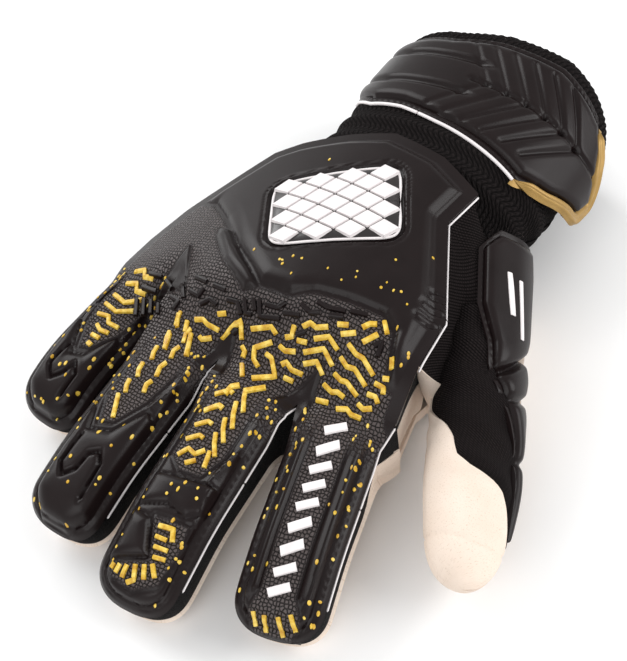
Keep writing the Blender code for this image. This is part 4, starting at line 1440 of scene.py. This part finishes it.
# %% [markdown]
# ## The badge
# A small rubber plate sits in a stitched seat. Its pattern is our own: rows of leaning white
# studs, each with four facets, so that a highlight jumps from one to the next.

# %% Badge plate and studs
BADGE_TOP = 2.5


def badge_spot(x, y, high):
    c, s = math.cos(BADGE_LEAN), math.sin(BADGE_LEAN)
    wx, wy = BADGE_CENTRE[0] + x * c - y * s, BADGE_CENTRE[1] + x * s + y * c
    return np.stack([wx, wy, hill(wx, wy) + high], axis=-1)


def box_outline(radius, turn, size, power=7.0):
    x, y = oval(np.degrees(turn), (size[0] / 2, size[1] / 2), power)
    return x * radius, y * radius


radius, turn = np.linspace(0, 1, 40)[:, None], np.linspace(0, 2 * np.pi, 161)
x, y = box_outline(radius, turn, (36.6, 26.6))
plate_points = badge_spot(x, y, BADGE_TOP - 0.6 * radius**12)
plate_flat = np.stack([x, y], axis=-1) + 500
RUBBER = finish("black_badge_rubber", foam_recipe, {"Coat Weight": 0.4, "Coat Roughness": 0.15})
plate = Cloth().wall(plate_points, 1.6, flat=plate_flat).make("badge_base", RUBBER)
settle(plate, "badge_rubber", "badge_plate")

x, y = box_outline(1.0, turn, (37.4, 27.4))
ring_path = badge_spot(x, y, BADGE_TOP - 0.7 + 0 * x)
settle(cord_piece(ring_path, 0.42, "badge_white_edge"), "white_piping")

cloth = Cloth()
share = np.array([0.0, 0.5, 0.94, 1.0])[:, None]
stud_high = np.array([1.35, 1.1, 0.7, -0.3])[:, None]
rhomb = np.array([(-1, 0), (0, -1), (1, 0), (0, 1), (-1, 0)])
for column in range(-3, 4):
    for row in range(-3, 4):
        cx, cy = column * 4.75, row * 3.55
        if (column + row) % 2 or abs(cx) > 14.5 or abs(cy) > 10.8:
            continue
        x, y = cx + share * rhomb[:, 0] * 4.4, cy + share * rhomb[:, 1] * 3.2
        points = badge_spot(x, y, BADGE_TOP + stud_high + 0 * x)
        cloth.add(points, quads(4, 5), np.stack([x, y], axis=-1))
settle(cloth.make("badge_white_studs", WHITE, sharp=12.0), "badge_rubber")

# %% [markdown]
# ## Printed marks
# Over the knuckles the gold bars form a maze that was drawn flat, as if seen from above the
# thumb, and then dropped on the curved back along that line of sight. On each finger the bars
# follow the finger's own x and s, so they bend with it. Small specks are strewn at random.


# %% The maze over the knuckles
def dropped(a, b, high):
    """From the flat drawing to the hand: start on a plane through the crotch and slide along the line of
    sight until the height is the hill's."""
    right, up, way = (np.array(v) for v in (RIGHT, UP, BACK))
    start = np.array([20.8, -44.7, 30.0])
    point = start + a[..., None] * right + b[..., None] * up
    slide = np.zeros(a.shape)
    for _ in range(25):
        at = point + slide[..., None] * way
        slide = slide + 0.7 * (hill(at[..., 0], at[..., 1]) - 0.2 - at[..., 2])
    at = point + slide[..., None] * way
    top, _ = hand_top(at[..., 0], at[..., 1])
    return top + np.array([0, -0.15, 1.0]) * high[..., None]


GOLD_MAZE = [
    [(-21.5, 17.5), (-16, 23), (-15.8, 17.7)], [(-13.1, 20.6), (-7.3, 21.2), (-6, 19.2)],
    [(-1, 21.5), (-1.7, 18.5), (-3.5, 18.3)], [(1.3, 21.2), (3.5, 22.3), (5, 21), (8.3, 21.2)],
    [(10.8, 21.9), (13.8, 21.7)], [(17.5, 21), (19.6, 22), (21.5, 21.9)], [(23.5, 22.7), (24.2, 19.2)],
    [(11.7, 19.2), (15.8, 19.6)], [(17.5, 17), (21.7, 19.2)], [(4.4, 17.9), (8.5, 18.5), (10.8, 15)],
    [(-0.2, 17.5), (2.5, 16.9)], [(-5, 16), (-3.5, 14.6), (-0.6, 14.4)],
    [(-7.1, 17), (-12.1, 15.4), (-12.3, 12.3), (-11, 10.2)], [(-8.8, 13.8), (-7.3, 12.7), (-6.3, 7.5), (-12.7, 7.1)],
    [(1.5, 14.2), (7.1, 15.2), (9.4, 10.6)], [(13.8, 16.5), (15.8, 13.8), (17.7, 12.7), (20.4, 8.1)],
    [(11.7, 12.9), (13.3, 10.4), (15.4, 9.8), (18.3, 5.2)], [(1.5, 11), (5.2, 11.7), (6.7, 8.1)],
    [(-4.6, 10.8), (-3.1, 11.5), (-1.7, 9.4), (1.3, 8.1)], [(10, 8.5), (11.7, 6.7), (13.3, 6.2), (16, 2.5)],
    [(-3.8, 7.3), (-1.3, 6.2)], [(7.1, 5.6), (9.2, 3.5), (10.8, 3.5), (12.5, 2.1)],
    [(20.8, 6), (23.1, 4.8), (22.9, 3.1)], [(18.8, 3.1), (21, 2.3), (21.5, 0.6)], [(25.4, 12.7), (25.2, 9.6)],
    [(22.9, 7.3), (24.6, 7.1)], [(5, 1.3), (8.3, 0.6)], [(16.3, 0.4), (17.7, -1), (20, -0.8)],
    [(10.4, -1), (13.3, -1), (14.4, -2.5), (17, -3.5)], [(-15.6, 15.8), (-14.8, 14.4), (-15.4, 12.7)],
    [(-15.6, 11), (-15.4, 7.5)], [(-20, 2.9), (-18.3, 4.8), (-16, 5.2)], [(-14.6, 3.7), (-8.8, 4.6)],
    [(-29.4, 23.3), (-26.9, 23.3), (-25.6, 21.9), (-22.3, 20.2)], [(-22.7, 24.8), (-20.2, 25)],
    [(-27.9, 18.5), (-27.3, 17.7), (-24.4, 18.1)], [(-30.4, 19.4), (-31.6, 13.1)], [(-31.6, 22.9), (-32.2, 19.8)],
    [(-36.7, 19.4), (-38, 15)], [(-34.2, 25), (-35, 21.5)],
]
BLACK_MAZE = [
    [(-31, 31.5), (-28.5, 30), (-27, 32)], [(-28, 27.5), (-25, 29), (-23, 27.2)],
    [(-20, 28.8), (-17, 28), (-16, 24.5)],
    [(-15, 29), (-14.6, 24.8), (-13, 24.6)], [(-12.5, 29), (-12, 25.6)], [(-10.8, 28.6), (-10.6, 24), (-5, 23.4)],
    [(-9, 27.4), (-5.5, 26.4), (-3.5, 27.8)], [(-4, 25), (0.5, 24.4)], [(1, 27.5), (3.5, 25), (6, 25.2)],
    [(5.5, 28), (8, 26.5), (13, 25.4)], [(8.5, 24.3), (12.5, 23.8)], [(14.5, 25.4), (19, 24.4)],
    [(20.5, 16), (22.8, 17), (21.5, 13)], [(-37, 30), (-34.5, 28.6), (-36, 26.4)], [(-33.5, 33), (-33, 29.5)],
    [(-46, 33), (-41.5, 31.5)], [(-44, 37), (-40, 36)], [(-47.5, 29.5), (-47.5, 24.5)], [(-45.2, 29.3), (-45.2, 24.6)],
    [(-43, 29), (-43, 25)], [(-40.7, 28), (-40.7, 25)], [(-38.5, 34.5), (-36.8, 32)], [(-24, 33), (-20.5, 31.5)],
    [(-29.5, 35.5), (-26, 34)], [(-17, 20.5), (-18.5, 18.8)], [(2, 19.8), (-0.5, 19)],
]
settle(add_bars(Cloth(), GOLD_MAZE, 1.55, 0.85, dropped).make("knuckle_gold_maze", GOLD), "backhand_foam")
settle(add_bars(Cloth(), BLACK_MAZE, 1.5, 1.0, dropped).make("knuckle_black_maze", FOAM), "backhand_foam")


# %% Bars on the fingers
def chevrons(starts, left, right):
    """Pairs of bars at each s: a short one on the left and a steep one on the right."""
    return [[(x, s + ds) for x, ds in line] for s in starts for line in (left, right)]


FINGER_GOLD = {
    "index": [
        [(-5.6, 46.2), (-4.6, 49.4)], [(-2.4, 46.4), (-1.6, 50.2)], [(1.4, 46.0), (3.2, 50.2)],
        [(4.6, 44.6), (6.4, 48.2)],
    ],
    "middle": chevrons(
        (-5.0, -0.4, 4.2, 8.8), [(-6.8, 3.2), (-3.6, 0.8), (-2.2, 1.1)], [(0.2, -1.6), (1.4, 1.2), (3.6, 4.6)]
    )
    + [
        [(-6.4, 17.0), (-4.4, 14.2), (-1.8, 15.0), (0.2, 12.8)], [(-3.0, 18.4), (-0.6, 16.4)],
        [(1.6, 12.6), (2.6, 17.4)], [(0.0, 34.6), (4.2, 34.0), (5.6, 37.0)], [(0.6, 37.4), (4.0, 37.2)],
        [(1.6, 40.0), (5.6, 39.6)], [(2.8, 42.6), (6.2, 42.0)], [(3.6, 44.4), (5.8, 47.4)],
        [(1.6, 45.4), (3.2, 49.0)], [(-0.8, 46.4), (0.6, 50.2), (-1.2, 51.6)], [(-3.0, 47.4), (-3.0, 51.0)],
        [(-5.0, 48.0), (-5.4, 50.6)], [(-6.8, 48.4), (-7.2, 50.0)],
    ],
    "ring": [[(-4.6, s), (-4.2, s + 2.0), (-3.0, s + 4.0)] for s in (-15.5, -9.8, -4.1, 1.6, 7.3)]
    + [[(1.6, s), (0.9, s + 1.8), (1.8, s + 4.2)] for s in (-12.5, -6.8, -1.1, 4.6)]
    + [[(-4.6, 12.6), (-1.2, 19.4)]],
    "little": [[(-4.2, s + 1.0), (-0.4, s), (1.0, s + 1.8), (4.8, s + 1.4)] for s in (-7.6, -3.6, 8.4)]
    + [[(-4.8, s), (0.2, s + 0.6), (4.6, s - 2.4)] for s in (1.8, 5.4)]
    + [[(-1.6, 12.4), (0.6, 13.4), (3.6, 12.8)], [(-0.6, 15.8), (2.4, 15.6)], [(0.4, 18.0), (2.0, 18.2)]],
}
INDEX_WHITE = [[(-2.7, s + 1.5), (2.7, s - 1.5)] for s in np.arange(-4.0, 42.0, 5.4)]
random = np.random.default_rng(7)
SPECKS = 26


def lines_of(lines, finger, part):
    """The lines whose middle lies on one part of a finger."""
    return [line for line in lines if (np.mean([s for _, s in line]) < finger.first / 2) == (part == "root")]


for finger in FINGERS:
    def on_finger(x, s, high, finger=finger):
        return finger.back(x, s, high)[0]

    cut_row = finger.first / 2
    for part in ("root", "end"):
        bend, count = finger_bend(finger, part), SPECKS
        cloth = add_bars(Cloth(), lines_of(FINGER_GOLD[finger.name], finger, part), 1.5, 0.8, on_finger)
        low, high = (-8.0, cut_row - 1) if part == "root" else (cut_row + 1, finger.end - 3)
        s = random.uniform(low, high, count)
        side = random.choice([-1, 1], count) * random.uniform(0.58, 0.93, count)
        middle = random.uniform(-0.5, 0.5, count)
        smooth_zone = (finger.relief(middle * finger.wide, s)[1] < 0.1) & (random.random(count) < 0.5)
        x = np.where(smooth_zone, middle, side) * finger.wide
        fits = finger.reach(x, s) < 0.95
        sizes = np.stack([random.uniform(0.35, 0.6, count), random.uniform(0.45, 0.95, count)], axis=1)
        add_specks(cloth, np.stack([x, s], axis=1)[fits], sizes[fits], on_finger)
        settle(cloth.make(f"{finger.name}_gold_{part}", GOLD), "backhand_foam", on=bend)
        if finger.name == "index":
            cloth = add_bars(Cloth(), lines_of(INDEX_WHITE, finger, part), 3.0, 0.6, on_finger)
            settle(cloth.make(f"index_white_bars_{part}", WHITE), "white_piping", on=bend)

# %% Specks on the hand and bars on the thumb
def on_hand(x, y, high):
    top, _ = hand_top(x, y)
    return top + np.array([0, 0, 1.0]) * high[..., None]


count = 34
x = random.uniform(-20, 44, count)
pad_front = np.interp(x, [-31, -9, 6, 22, 32, 42], [-4, -19, -22, -15, -13, -28])
y = pad_front + random.uniform(1, 1, count) + random.gamma(1.6, 5.0, count)
off_badge = rounded_box(*badge_place(x, y), BADGE_SIZE, SEAT_CORNER) < -4
keep = off_badge & (y < 28) & (x < at_height(RIGHT_HEM, y) - 3)
sizes = np.stack([random.uniform(0.3, 0.55, count), random.uniform(0.4, 0.8, count)], axis=1)
cloth = add_specks(Cloth(), np.stack([x, y], axis=1)[keep], sizes[keep], on_hand, 0.25)
settle(cloth.make("hand_gold_specks", GOLD), "backhand_foam")


def on_thumb(across, s, high):
    angle = across / THUMB_MM
    return thumb_spot(angle, s, thumb_pad_relief(angle, s) + high)


lines = [[(THUMB_MM * 80, 4.0), (THUMB_MM * 72, 22.0)], [(THUMB_MM * 93, 3.0), (THUMB_MM * 87, 16.0)]]
cloth = add_bars(Cloth(), lines, 1.3, 0.35, on_thumb)
settle(cloth.make("thumb_white_bars", WHITE), "white_piping", on=thumb_bend("base"))


# %% Cut edges of the foam
def hem_edge(points, name, on="hand"):
    """The white cut edge of the foam's lining: a fine cord just outside the hem."""
    settle(cord_piece(points, 0.32, name), "white_piping", on=on)


for finger in FINGERS[:3]:
    cut_row = finger.first / 2
    run = np.linspace(finger.begin[1] + 0.5, cut_row, 60)
    points, _ = finger.back(finger.width(np.ones(60), run), run)
    hem_edge(points - [0, 0, 1.2], finger.name + "_cut_edge_root", finger_bend(finger, "root"))
    run = np.linspace(cut_row, finger.end - finger.tip_long, 60)
    points, _ = finger.back(np.full(60, finger.wide), run)
    hem_edge(points - [0, 0, 1.2], finger.name + "_cut_edge_end", finger_bend(finger, "end"))
y = np.linspace(-24.0, 35.0, 140)
x = at_height(RIGHT_HEM, y) + 0.1
points, _ = hand_top(x, y)
hem_edge(points - [0, 0, 1.3], "hand_cut_edge")

# %% [markdown]
# ## The cloth, as it was cut
# Cloth hardly stretches, so the flat cut that each cloth piece was sewn from is worked out: its
# width and length, measured along the surface, and its area; the width and length are printed. It is held stretched
# between the foam of the back and the latex of the palm.

for finger in FINGERS:
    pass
for name, (piece, cut, area) in CUTS.items():
    print(name, "cut", " x ".join(f"{1000 * side:.0f}" for side in cut), "mm")

# %% The bounds of what is shown
(low, high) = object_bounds()
